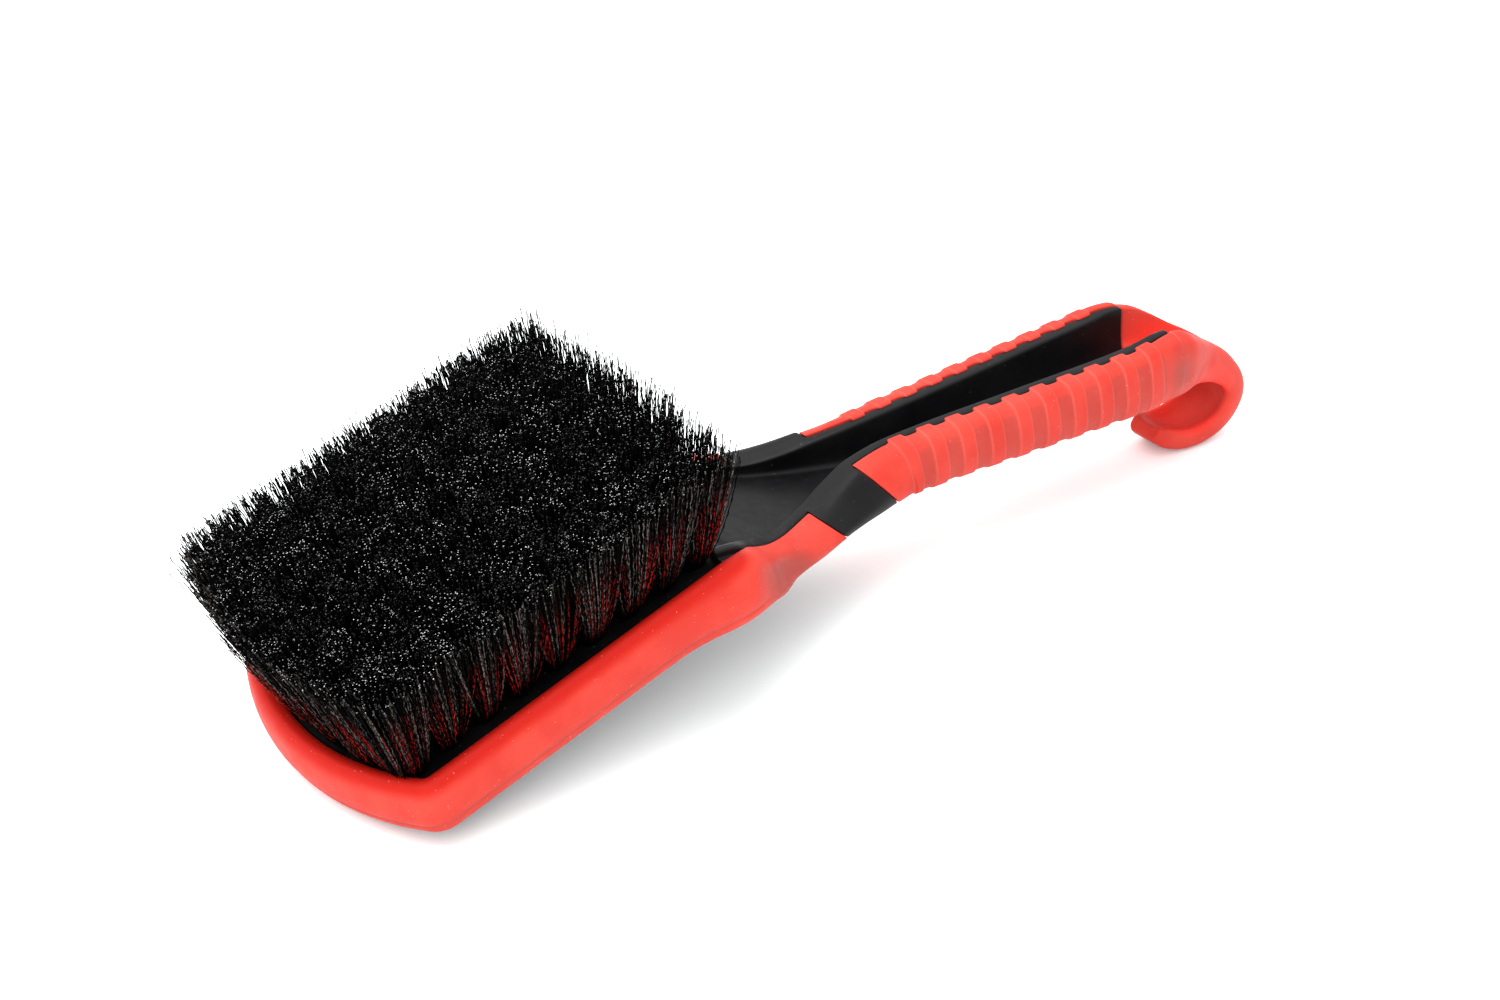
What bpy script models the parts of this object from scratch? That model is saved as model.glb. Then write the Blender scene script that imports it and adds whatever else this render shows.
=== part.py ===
"""Wheel brush with a curled handle: a stiff core, a soft bumper and grip moulded on it, a tufted block.

The brush lies on its back, bristles up. X runs from the head to the hook, Y across, Z up.
The head slopes: its front lip and the hook are the two places that touch the surface.
"""
import math

import bmesh
import bpy
from mathutils import Matrix, Vector

# ---------------------------------------------------------------- driving dimensions, in millimetres
MM = 0.001                    # every length below is in millimetres; the mesh is written in metres
GAP = 0.3                     # clearance between two pieces that touch
HEAD_TILT = math.radians(18.1)    # slope of the head, rising towards the handle
HEAD_FRONT_X = -135.9         # where the plane of the head's back meets the surface
HEAD_LIFT = -0.95             # brings the rounded front lip just onto the surface

HEAD_HALF_WIDTH = 39.3        # outside of the bumper
HEAD_FRONT_S = 3.2            # foremost point of the bumper, along the head
HEAD_FRONT_RADIUS = 70.0      # curve of the front edge
HEAD_CORNER_RADIUS = 7.4
HEAD_REAR_S = 99.0            # where the bumper leaves the head
BUMPER_HEIGHT = 14.2
BUMPER_FOOT = 0.45            # how far the bumper stands below the core's back
BUMPER_INNER_HEIGHT = 12.2
BUMPER_WIDTH = 6.0
BUMPER_SEAT = 3.3             # how far in the core's flange sits from the bumper's face
CARRIER_HEIGHT = 4.0          # thickness of the core under the block
BLOCK_TOP = 11.4
BLOCK_REAR_S = 98.0
BULGE = 2.4                   # swelling of the bumper at the head's rear corners

TUFT_ROWS = 9
TUFTS_PER_ROW = 7
TUFT_FIRST_S = 14.6           # first row, at the middle of the head
TUFT_LAST_S = 93.0
TUFT_HALF_SPREAD = 27.6       # centre of the outermost tuft of a row
TUFT_ROW_BOW = 3.4            # how far the ends of the first row lie back, to follow the front edge
TUFT_FOOT_RADIUS = 1.7
TUFT_HOLE_RADIUS = 2.1
TUFT_HOLE_DEPTH = 5.0
TUFT_TOP = 39.6               # trimmed height of the bristles above the head's back
TUFT_MERGE = 24.0             # height at which the tufts of a row run together
BRUSH_TOP_FRONT_S = 5.6       # trimmed face, foremost
BRUSH_TOP_REAR_S = 109.0
BRUSH_TOP_HALF_WIDTH = 39.0
BRUSH_TOP_BOW = 8.4

RIBS = 10
RIB_FIRST_X = 20.7
RIB_PITCH = 8.5
RIB_WIDTH = 3.9
RIB_HEIGHT = 0.7
RIB_EDGE = 0.35
GRIP_START_X = 8.3
TAIL_START_X = -41.0
TAIL_END_X = -9.6
TURN_CLEARANCE = 5.5          # times the gap, where the bumper's section turns from the head to the neck
GRIP_SHELL = 2.4              # soft layer over the core
WALL_DRAFT = 1.8              # how much narrower a wall is at its rim
CORE_END_X = 109.5            # end of the open channel
GRIP_END_X = 113.0            # where the walls have become the hook

# Side and plan shapes as (X, value) along the neck and handle.
RIM_HEIGHT = [(-52, 43.6), (-43, 42.6), (-35, 38.2), (-27, 34.6), (-18, 32.6), (-9, 32.6), (0, 34.6), (9, 36.6),
              (22, 37.4), (60, 38.6), (98, 39.2), (112, 38.6), (124, 35.6)]
BACK_HEIGHT = [(-52, 27.6), (-43, 29.2), (-32, 27.4), (-18, 24.8), (0, 23.8), (20, 23.2), (60, 23.0), (98, 22.6),
               (112, 22.4), (124, 21.8)]
OUTER_WIDTH = [(-52, 39.3), (-45, 39.8), (-38, 38.0), (-30, 32.2), (-22, 28.0), (-10, 23.4), (0, 19.6), (10, 16.4),
               (20, 14.6), (35, 14.7), (60, 16.0), (98, 17.4), (108, 16.6), (116, 13.6), (124, 10.2)]
STRIP_WIDTH = [(-52, 33.0), (-43, 32.6), (-36, 29.2), (-28, 24.8), (-18, 19.2), (-9, 15.2), (0, 12.0), (9, 9.0),
               (20, 6.7), (35, 6.9), (60, 8.2), (98, 9.9), (112, 8.6), (124, 5.0)]
CHANNEL_WIDTH = [(-52, 30.0), (-43, 29.6), (-36, 25.8), (-28, 21.4), (-18, 16.0), (-9, 12.0), (0, 8.8), (9, 6.2),
                 (20, 4.4), (35, 4.5), (60, 5.8), (98, 7.6), (112, 6.8)]
FLOOR_HEIGHT = [(-52, 40.2), (-43, 37.4), (-36, 32.4), (-28, 30.2), (-18, 28.8), (-9, 28.0), (0, 27.6), (20, 27.2),
                (60, 27.0), (98, 26.8), (112, 26.8)]
SLANT = [(-52, 0.33), (-43, 0.33), (-30, 0.55), (-14, 1.1), (0, 1.1), (9, 0.9), (20, 0.35), (28, 0.05), (124, 0.0)]

# The hook, as a band that curls down and back: (X, Z) of its middle line.
HOOK_LINE = [(104, 30.6), (114, 29.4), (123, 26.8), (131, 23.0), (137, 18.0), (139, 12.6), (136.5, 7.6),
             (131, 4.5), (124, 3.85), (117, 5.6), (111.5, 9.6), (108.2, 13.8)]
HOOK_HALF_WIDTH = [(0, 14.0), (0.1, 12.6), (0.22, 10.2), (0.35, 9.2), (0.6, 9.2), (0.85, 8.8), (1, 6.4)]
HOOK_HALF_THICKNESS = [(0, 6.4), (0.12, 6.6), (0.24, 5.4), (0.36, 4.2), (0.6, 3.8), (0.85, 3.6), (1, 2.6)]
HOOK_DISH = 1.9               # depth of the dished inner face
TONGUE_HALF_WIDTH = 4.2       # end of the core inside the hook
TONGUE_HALF_THICKNESS = 1.4
TONGUE_DROP = 3.9             # how far below the hook's middle line the tongue starts


# ---------------------------------------------------------------- helpers
def smooth_value(points, x):
    """Value at x of a smooth curve through the points, without overshoot between them."""
    if x <= points[0][0]:
        return points[0][1]
    if x >= points[-1][0]:
        return points[-1][1]
    slopes = [(b[1] - a[1]) / (b[0] - a[0]) for a, b in zip(points, points[1:])]
    i = max(k for k in range(len(slopes)) if points[k][0] <= x)

    def tangent(k):
        if k == 0:
            return slopes[0]
        if k == len(slopes):
            return slopes[-1]
        if slopes[k - 1] * slopes[k] <= 0:
            return 0.0
        return 2 * slopes[k - 1] * slopes[k] / (slopes[k - 1] + slopes[k])

    x0, y0 = points[i]
    x1, y1 = points[i + 1]
    h = x1 - x0
    t = (x - x0) / h
    return ((1 + 2 * t) * (1 - t) ** 2 * y0 + t * (1 - t) ** 2 * h * tangent(i)
            + t * t * (3 - 2 * t) * y1 + t * t * (t - 1) * h * tangent(i + 1))


def spread(start, stop, count):
    """Evenly spaced values, both ends included."""
    return [start + (stop - start) * i / (count - 1) for i in range(count)]


def head_point(s, y, n):
    """World point, in metres, of a place on the head: s along it, y across, n up from its back."""
    x = HEAD_FRONT_X + s * math.cos(HEAD_TILT) - n * math.sin(HEAD_TILT)
    z = HEAD_LIFT + s * math.sin(HEAD_TILT) + n * math.cos(HEAD_TILT)
    return Vector((x, y, z)) * MM


def neck_point(x, y, z):
    """World point, in metres, of a place on the neck section at x, slanted with its height."""
    lean = smooth_value(SLANT, x) * (smooth_value(RIM_HEIGHT, x) - z)
    return Vector((x + lean, y, z)) * MM


def make_material(name, colour, roughness):
    material = bpy.data.materials.new(name)
    material.use_nodes = True
    shader = material.node_tree.nodes["Principled BSDF"]
    shader.inputs["Base Color"].default_value = (*colour, 1.0)
    shader.inputs["Roughness"].default_value = roughness
    shader.inputs["Metallic"].default_value = 0.0
    return material


def make_object(name, bm, material, collection):
    """Object from a bmesh, with its faces pointing out."""
    bmesh.ops.recalc_face_normals(bm, faces=bm.faces[:])
    mesh = bpy.data.meshes.new(name)
    bm.to_mesh(mesh)
    bm.free()
    if material:
        mesh.materials.append(material)
    mesh.shade_smooth()
    mesh.set_sharp_from_angle(angle=math.radians(35))
    obj = bpy.data.objects.new(name, mesh)
    collection.objects.link(obj)
    return obj


def loft(rings):
    """Closed bmesh through rings of equally many points, with both ends capped."""
    bm = bmesh.new()
    made = [[bm.verts.new(point) for point in ring] for ring in rings]
    count = len(made[0])
    for lower, upper in zip(made, made[1:]):
        for i in range(count):
            j = (i + 1) % count
            bm.faces.new((lower[i], lower[j], upper[j], upper[i]))
    bm.faces.new(made[0][::-1])
    bm.faces.new(made[-1])
    bm.normal_update()
    bmesh.ops.triangulate(bm, faces=[f for f in bm.faces if len(f.verts) > 4])
    return bm


def mirrored(half):
    """Full ring from a half ring that starts and ends on the middle plane, y >= 0."""
    return half + [(y * -1, z) for y, z in half[-2:0:-1]]


def wall_profile(outer, bottom, top, draft):
    """Outer side of a U section, rounded below and above: four (y, z) points from the bottom up."""
    height = top - bottom
    return [(outer - 1.4, bottom + 0.08 * height), (outer, bottom + 0.34 * height),
            (outer - 0.4 * draft, bottom + 0.72 * height), (outer - draft, bottom + 0.93 * height)]


def plate(outline, bottom, top):
    """Flat plate on the head from an outline of (s, y), as a bmesh."""
    bm = bmesh.new()
    face = bm.faces.new([bm.verts.new(head_point(s, y, bottom)) for s, y in outline])
    grown = bmesh.ops.extrude_face_region(bm, geom=[face])
    rise = head_point(0, 0, top) - head_point(0, 0, bottom)
    bmesh.ops.translate(bm, verts=[v for v in grown["geom"] if isinstance(v, bmesh.types.BMVert)], vec=rise)
    bm.normal_update()
    bmesh.ops.triangulate(bm, faces=[f for f in bm.faces if len(f.verts) > 4])
    return bm


def add_boolean(obj, other, operation):
    modifier = obj.modifiers.new(operation.lower() + "_" + other.name, "BOOLEAN")
    modifier.operation = operation
    modifier.object = other
    modifier.solver = "EXACT"


def make_cutter(name, bm, cutters):
    cutter = make_object(name, bm, None, cutters)
    cutter.hide_render = True
    cutter.display_type = "WIRE"
    return cutter


# ---------------------------------------------------------------- outline of the head
def head_outline(inset, rear_s):
    """Half outline, front middle to rear corner: list of (s, y, outward angle)."""
    front = HEAD_FRONT_S + inset
    radius = HEAD_FRONT_RADIUS - inset
    corner = HEAD_CORNER_RADIUS - inset
    half = HEAD_HALF_WIDTH - inset
    swing = math.asin((half - corner) / (radius - corner))
    corner_s = front + radius - (radius - corner) * math.cos(swing)
    points = []
    for angle in spread(0, swing, 7):
        points.append((front + radius * (1 - math.cos(angle)), radius * math.sin(angle), math.pi - angle))
    for angle in spread(swing, math.pi / 2, 6)[1:]:
        points.append((corner_s - corner * math.cos(angle), half - corner + corner * math.sin(angle),
                       math.pi - angle))
    for s in spread(corner_s, rear_s, 9)[1:]:
        points.append((s, half, math.pi / 2))
    return points


def closed_outline(inset, rear_s):
    half = [(s, y) for s, y, angle in head_outline(inset, rear_s)]
    return half + [(s, -y) for s, y in half[:0:-1]]


# ---------------------------------------------------------------- core: carrier, tray, neck, channel
def core_section(x, cover):
    """U section of the core at x. Under the tail and the grip it steps in for the soft layer."""
    side_step = 0.0 if cover == "bare" else GRIP_SHELL + GAP
    outer = smooth_value(OUTER_WIDTH, x) - side_step
    rim = smooth_value(RIM_HEIGHT, x)
    back = smooth_value(BACK_HEIGHT, x) + (GRIP_SHELL + GAP if cover == "grip" else 0.0)
    strip = smooth_value(STRIP_WIDTH, x) - GAP / 2
    inner = smooth_value(CHANNEL_WIDTH, x)
    floor = smooth_value(FLOOR_HEIGHT, x)
    top = rim - (0.15 if cover == "bare" else 1.6)
    half = [(0, back), (outer - 5.0, back)]
    half += wall_profile(outer, back, top, WALL_DRAFT)
    half += [(max(outer - WALL_DRAFT - 2.8, strip + 0.2), top), (strip, top), (strip - 0.05, rim),
             (inner + 0.7, rim), (inner, rim - 1.0), (inner - 0.3, floor + 0.4 * (rim - floor)),
             (inner - 1.6, floor), (0, floor - 0.2)]
    return [neck_point(x, y, z) for y, z in mirrored(half)]


def build_core(material, parts, cutters):
    under_tail = [(x, "tail") for x in spread(-50, TAIL_END_X + GAP, 13)]
    bare_neck = [(x, "bare") for x in spread(TAIL_END_X + 2 * GAP, GRIP_START_X - 2 * GAP, 6)]
    under_grip = [(x, "grip") for x in spread(GRIP_START_X - GAP, CORE_END_X, 16)]
    rings = [core_section(x, cover) for x, cover in under_tail + bare_neck + under_grip]
    core = make_object("core_frame", loft(rings), material, parts)
    carrier = make_cutter("carrier_solid", plate(closed_outline(BUMPER_SEAT + GAP, BLOCK_REAR_S), 0.0,
                                                 CARRIER_HEIGHT), cutters)
    tongue = make_cutter("tongue_solid", band(TONGUE_HALF_WIDTH, TONGUE_HALF_THICKNESS, 0.82), cutters)
    add_boolean(core, carrier, "UNION")
    add_boolean(core, tongue, "UNION")
    seat = make_cutter("block_seat", plate(closed_outline(BUMPER_WIDTH, BLOCK_REAR_S + GAP),
                                           CARRIER_HEIGHT, CARRIER_HEIGHT + 30.0), cutters)
    above = make_cutter("above_bumper", plate(closed_outline(0.0, BLOCK_REAR_S + GAP), BLOCK_TOP - 1.0,
                                              CARRIER_HEIGHT + 30.0), cutters)
    add_boolean(core, seat, "DIFFERENCE")
    add_boolean(core, above, "DIFFERENCE")
    room = make_cutter("bumper_room", loft(bumper_rings(GAP)), cutters)
    add_boolean(core, room, "DIFFERENCE")
    return core


# ---------------------------------------------------------------- bumper
def bumper_section_on_head(s, y, angle, grow):
    """Ring of the bumper square to the head's outline: outer face first, then the inner side."""
    rear = min(max((s - 82.0) / 14.0, 0.0), 1.0)
    swell = BULGE * rear * rear * (3 - 2 * rear)
    seat = BUMPER_SEAT + grow * (TURN_CLEARANCE if s > HEAD_REAR_S - 1.0 else 1.0)
    inner = BUMPER_WIDTH + grow
    profile = [(1.3 - swell * 0.4, -BUMPER_FOOT - grow), (0.0 - swell - grow, 2.8), (-0.2 - swell - grow, 7.4),
               (0.9 - swell * 0.9 - grow, 11.6), (3.0 - swell * 0.4, BUMPER_HEIGHT + grow),
               (inner, BUMPER_INNER_HEIGHT + grow), (inner, CARRIER_HEIGHT + GAP - grow),
               (BUMPER_WIDTH - 1.0, CARRIER_HEIGHT + GAP - grow), (seat, CARRIER_HEIGHT + GAP - grow),
               (seat, 2.2), (seat, -BUMPER_FOOT - grow)]
    return [head_point(s - t * math.cos(angle), y - t * math.sin(angle), n) for t, n in profile]


def bumper_section_on_tail(x, grow):
    """Ring of the bumper's tail, which lies on the outer side of the rail at x."""
    outer = smooth_value(OUTER_WIDTH, x) + grow
    rim = smooth_value(RIM_HEIGHT, x)
    back = smooth_value(BACK_HEIGHT, x)
    strip = smooth_value(STRIP_WIDTH, x) + GAP / 2 - grow
    near_turn = max(0.0, 1 - (x - TAIL_START_X) / 6.0)
    core_outer = smooth_value(OUTER_WIDTH, x) - GRIP_SHELL - grow * (1 + (TURN_CLEARANCE - 1) * near_turn)
    core_top = rim - 1.6 + GAP - grow
    outside = wall_profile(outer, back - grow, rim - 0.4, WALL_DRAFT)
    outside += [(outer - 3.6, rim + 0.2 + grow), (strip, rim + 0.05 + grow)]
    inside = [(strip, core_top)] + wall_profile(core_outer, back, core_top, WALL_DRAFT)[::-1]
    return [neck_point(x, y, z) for y, z in outside + inside]


def bumper_rings(grow):
    """All rings from the far tail round the front to the near tail."""
    half = [bumper_section_on_head(s, y, angle, grow) for s, y, angle in head_outline(0.0, HEAD_REAR_S)]
    half += [bumper_section_on_tail(x, grow) for x in spread(TAIL_START_X, TAIL_END_X, 9)]
    other = [[Vector((p.x, -p.y, p.z)) for p in ring] for ring in half[:0:-1]]
    return other + half


def build_bumper(material, parts):
    return make_object("head_bumper", loft(bumper_rings(0.0)), material, parts)


# ---------------------------------------------------------------- bristle block and tufts
def tuft_base(u, v):
    """Place (s, y) on the block of row coordinate u and across coordinate v in -1 to 1."""
    share = u / (TUFT_ROWS - 1)
    bow = TUFT_ROW_BOW * v * v * (1 - share)
    return TUFT_FIRST_S + (TUFT_LAST_S - TUFT_FIRST_S) * share + bow, TUFT_HALF_SPREAD * v


def tuft_tip(u, v):
    """Place (s, y) on the trimmed face. The tufts fan out, so that it is filled to its edges."""
    share = (u + 0.5) / TUFT_ROWS
    across = v * (TUFTS_PER_ROW - 1) / TUFTS_PER_ROW
    bow = BRUSH_TOP_BOW * across * across * (1 - share)
    s = BRUSH_TOP_FRONT_S + (BRUSH_TOP_REAR_S - BRUSH_TOP_FRONT_S) * share + bow
    return s, BRUSH_TOP_HALF_WIDTH * across


def fanned(u, v, n):
    """World point at height n between the block and the trimmed face."""
    share = (n - BLOCK_TOP) / (TUFT_TOP - BLOCK_TOP)
    base = Vector(tuft_base(u, v))
    tip = Vector(tuft_tip(u, v))
    place = base.lerp(tip, share)
    return head_point(place.x, place.y, n)


def tuft_places():
    return [(u, -1 + 2 * j / (TUFTS_PER_ROW - 1)) for u in range(TUFT_ROWS) for j in range(TUFTS_PER_ROW)]


def build_block(material, parts, cutters):
    block = make_object("bristle_block", plate(closed_outline(BUMPER_WIDTH + GAP, BLOCK_REAR_S),
                                               CARRIER_HEIGHT + GAP, BLOCK_TOP), material, parts)
    bm = bmesh.new()
    for u, v in tuft_places():
        s, y = tuft_base(u, v)
        centre = head_point(s, y, BLOCK_TOP - TUFT_HOLE_DEPTH + 0.5 * (TUFT_HOLE_DEPTH + 1.0))
        bmesh.ops.create_cone(bm, cap_ends=True, segments=8, radius1=TUFT_HOLE_RADIUS * MM,
                              radius2=TUFT_HOLE_RADIUS * MM, depth=(TUFT_HOLE_DEPTH + 1.0) * MM,
                              matrix=Matrix.Translation(centre) @ Matrix.Rotation(-HEAD_TILT, 4, "Y"))
    add_boolean(block, make_cutter("tuft_holes", bm, cutters), "DIFFERENCE")
    return block


def build_tuft_row(u, material, parts):
    """One row of tufts: round feet in the block that widen and run together into a trimmed bar."""
    margin = 0.5 - 0.5 * GAP / 11.0
    bm = bmesh.new()
    grid = {}
    columns = 2 * TUFTS_PER_ROW
    levels = [TUFT_MERGE, 0.5 * (TUFT_MERGE + TUFT_TOP), TUFT_TOP]
    for k, n in enumerate(levels):
        for i in range(3):
            for j in range(columns + 1):
                v = (j / columns * 2 - 1) * TUFTS_PER_ROW / (TUFTS_PER_ROW - 1)
                grid[i, j, k] = bm.verts.new(fanned(u + (i - 1) * margin, v, n))
    top = len(levels) - 1
    for j in range(columns):
        for i in range(2):
            bm.faces.new((grid[i, j, top], grid[i + 1, j, top], grid[i + 1, j + 1, top], grid[i, j + 1, top]))
        for k in range(top):
            bm.faces.new((grid[0, j, k], grid[0, j, k + 1], grid[0, j + 1, k + 1], grid[0, j + 1, k]))
            bm.faces.new((grid[2, j, k], grid[2, j + 1, k], grid[2, j + 1, k + 1], grid[2, j, k + 1]))
    for i in range(2):
        for k in range(top):
            bm.faces.new((grid[i, 0, k], grid[i + 1, 0, k], grid[i + 1, 0, k + 1], grid[i, 0, k + 1]))
            bm.faces.new((grid[i, columns, k], grid[i, columns, k + 1], grid[i + 1, columns, k + 1],
                          grid[i + 1, columns, k]))
    for j in range(TUFTS_PER_ROW):
        left = 2 * j
        rim = [grid[2, left, 0], grid[2, left + 1, 0], grid[2, left + 2, 0], grid[1, left + 2, 0],
               grid[0, left + 2, 0], grid[0, left + 1, 0], grid[0, left, 0], grid[1, left, 0]]
        s, y = tuft_base(u, -1 + 2 * j / (TUFTS_PER_ROW - 1))
        for n in (BUMPER_HEIGHT + 2 * GAP, BLOCK_TOP - TUFT_HOLE_DEPTH + GAP):
            ring = []
            for corner in range(8):
                angle = math.radians(45 * corner - 45)
                ring.append(bm.verts.new(head_point(s + TUFT_FOOT_RADIUS * math.cos(angle),
                                                    y + TUFT_FOOT_RADIUS * math.sin(angle), n)))
            for corner in range(8):
                after = (corner + 1) % 8
                bm.faces.new((rim[corner], rim[after], ring[after], ring[corner]))
            rim = ring
        bm.faces.new(rim)
    bmesh.ops.delete(bm, geom=[v for v in bm.verts if not v.link_faces], context="VERTS")
    return make_object("tuft_row_%d" % (u + 1), bm, material, parts)


# ---------------------------------------------------------------- hook
def hook_frame(t):
    """Point and across direction of the hook's middle line at t, 0 to 1."""
    span = t * (len(HOOK_LINE) - 1)
    xs = [(i, point[0]) for i, point in enumerate(HOOK_LINE)]
    zs = [(i, point[1]) for i, point in enumerate(HOOK_LINE)]
    here = Vector((catmull(xs, span), catmull(zs, span)))
    ahead = Vector((catmull(xs, min(span + 0.05, len(HOOK_LINE) - 1)),
                    catmull(zs, min(span + 0.05, len(HOOK_LINE) - 1))))
    behind = Vector((catmull(xs, max(span - 0.05, 0)), catmull(zs, max(span - 0.05, 0))))
    along = (ahead - behind).normalized()
    return here, Vector((-along.y, along.x))


def catmull(points, x):
    """Rounded curve through evenly spaced points, for the hook's line."""
    last = len(points) - 1
    i = min(int(x), last - 1)
    t = x - i
    p0 = points[max(i - 1, 0)][1]
    p1 = points[i][1]
    p2 = points[i + 1][1]
    p3 = points[min(i + 2, last)][1]
    return 0.5 * (2 * p1 + (p2 - p0) * t + (2 * p0 - 5 * p1 + 4 * p2 - p3) * t * t
                  + (3 * p1 - p0 - 3 * p2 + p3) * t ** 3)


def hook_section(t):
    """Ring of the hook's band at t: rounded outside, dished inside."""
    here, outward = hook_frame(t)
    half = smooth_value(HOOK_HALF_WIDTH, t)
    thick = smooth_value(HOOK_HALF_THICKNESS, t)
    dish = HOOK_DISH * min(1.0, t / 0.3)
    profile = [(0, thick), (half * 0.45, thick * 0.96), (half * 0.8, thick * 0.66), (half, thick * 0.1),
               (half * 0.97, -thick * 0.6), (half * 0.84, -thick), (half * 0.66, -thick + dish * 0.35),
               (half * 0.36, -thick + dish * 0.9), (0, -thick + dish)]
    ring = []
    for y, n in mirrored(profile):
        place = here + outward * n
        ring.append(Vector((place.x, y, place.y)) * MM)
    return ring


def band(half_width, half_thickness, last):
    """Rectangular bar that leaves the channel's floor and follows the hook's middle line."""
    rings = []
    for t in spread(0.0, last, 22):
        here, outward = hook_frame(t)
        drop = TONGUE_DROP * max(0.0, 1 - t / 0.24) ** 1.5
        corners = [(-half_width, -half_thickness - drop), (half_width, -half_thickness - drop),
                   (half_width, half_thickness - drop), (-half_width, half_thickness - drop)]
        rings.append([Vector((here.x + outward.x * n, y, here.y + outward.y * n)) * MM for y, n in corners])
    return loft(rings)


# ---------------------------------------------------------------- grip
def grip_section(x, rib):
    """U shell of the soft grip at x; rib is 0 between the ribs and 1 on them."""
    lift = rib * RIB_HEIGHT
    outer = smooth_value(OUTER_WIDTH, x) + lift
    rim = smooth_value(RIM_HEIGHT, x)
    back = smooth_value(BACK_HEIGHT, x) - lift
    strip = smooth_value(STRIP_WIDTH, x) + GAP / 2 - rib * 0.1
    core_outer = smooth_value(OUTER_WIDTH, x) - GRIP_SHELL
    core_back = smooth_value(BACK_HEIGHT, x) + GRIP_SHELL
    core_top = rim - 1.6 + GAP
    outside = [(0, back), (outer - 5.6, back)]
    outside += wall_profile(outer, back, rim - 0.4 + 0.5 * lift, WALL_DRAFT)
    outside += [(outer - 3.8, rim + 0.1 + lift * 0.7), (strip + 1.0, rim + 0.35 + lift * 0.8), (strip, rim + 0.05)]
    inside = [(strip, core_top), (max(core_outer - WALL_DRAFT - 2.8, strip + 0.2), core_top)]
    inside += wall_profile(core_outer, core_back, core_top, WALL_DRAFT)[::-1]
    inside += [(core_outer - 5.0, core_back), (0, core_back)]
    return [neck_point(x, y, z) for y, z in mirrored(outside + inside)]


def rib_stations():
    """Stations along the grip as (x, rib)."""
    stations = [(x, 0.0) for x in spread(GRIP_START_X, RIB_FIRST_X - 1.5, 6)]
    for i in range(RIBS):
        left = RIB_FIRST_X + i * RIB_PITCH
        right = left + RIB_WIDTH
        stations += [(left - RIB_EDGE, 0.0), (left, 1.0), (right, 1.0), (right + RIB_EDGE, 0.0)]
    return stations + [(x, 0.0) for x in spread(stations[-1][0] + 2.0, GRIP_END_X, 4)]


def pocket_cutter(cutters):
    """Rounded scoop in the top of the handle's end, between its two converging walls."""
    bm = bmesh.new()
    bmesh.ops.create_uvsphere(bm, u_segments=24, v_segments=14, radius=1.0)
    bmesh.ops.scale(bm, verts=bm.verts[:], vec=Vector((16.0, 7.2, 11.5)) * MM)
    bmesh.ops.translate(bm, verts=bm.verts[:], vec=Vector((108.5, 0, 39.0)) * MM)
    return make_cutter("end_pocket", bm, cutters)


def build_grip(material, parts, cutters):
    rings = [grip_section(x, rib) for x, rib in rib_stations()]
    grip = make_object("handle_grip", loft(rings), material, parts)
    hook = make_cutter("hook_solid", loft([hook_section(t) for t in spread(0.0, 1.0, 34)]), cutters)
    clear_x = CORE_END_X + GAP
    bm = bmesh.new()
    bmesh.ops.create_cube(bm, size=1.0)
    bmesh.ops.scale(bm, verts=bm.verts[:], vec=Vector((40.0, 60.0, 60.0)) * MM)
    bmesh.ops.translate(bm, verts=bm.verts[:], vec=Vector((clear_x - 20.0, 0, 30.0)) * MM)
    trim = make_cutter("hook_trim", bm, cutters)
    add_boolean(hook, trim, "DIFFERENCE")
    add_boolean(grip, hook, "UNION")
    add_boolean(grip, pocket_cutter(cutters), "DIFFERENCE")
    slot = make_cutter("tongue_slot", band(TONGUE_HALF_WIDTH + GAP, TONGUE_HALF_THICKNESS + GAP, 0.83),
                       cutters)
    add_boolean(grip, slot, "DIFFERENCE")
    return grip


def main():
    for obj in list(bpy.data.objects):
        bpy.data.objects.remove(obj, do_unlink=True)
    parts = bpy.data.collections.new("wheel_brush")
    cutters = bpy.data.collections.new("cutters")
    bpy.context.scene.collection.children.link(parts)
    bpy.context.scene.collection.children.link(cutters)
    black = make_material("black_plastic", (0.018, 0.018, 0.020), 0.42)
    red = make_material("red_rubber", (0.80, 0.045, 0.03), 0.5)
    bristle = make_material("bristle", (0.012, 0.012, 0.013), 0.35)
    build_core(black, parts, cutters)
    build_bumper(red, parts)
    build_grip(red, parts, cutters)
    build_block(black, parts, cutters)
    for u in range(TUFT_ROWS):
        build_tuft_row(u, bristle, parts)


main()
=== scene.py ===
# %% [markdown]
# # A wheel brush
# The brush has a stiff black core, a soft red layer moulded over it, and a block of black bristles.
# This lesson builds how it looks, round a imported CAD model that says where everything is.
# The pieces come first, then their finishes, then the floor, the light and the camera.

# %% Load the frame
import math
import bpy
import numpy as np
from mathutils import Matrix, Vector


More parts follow.
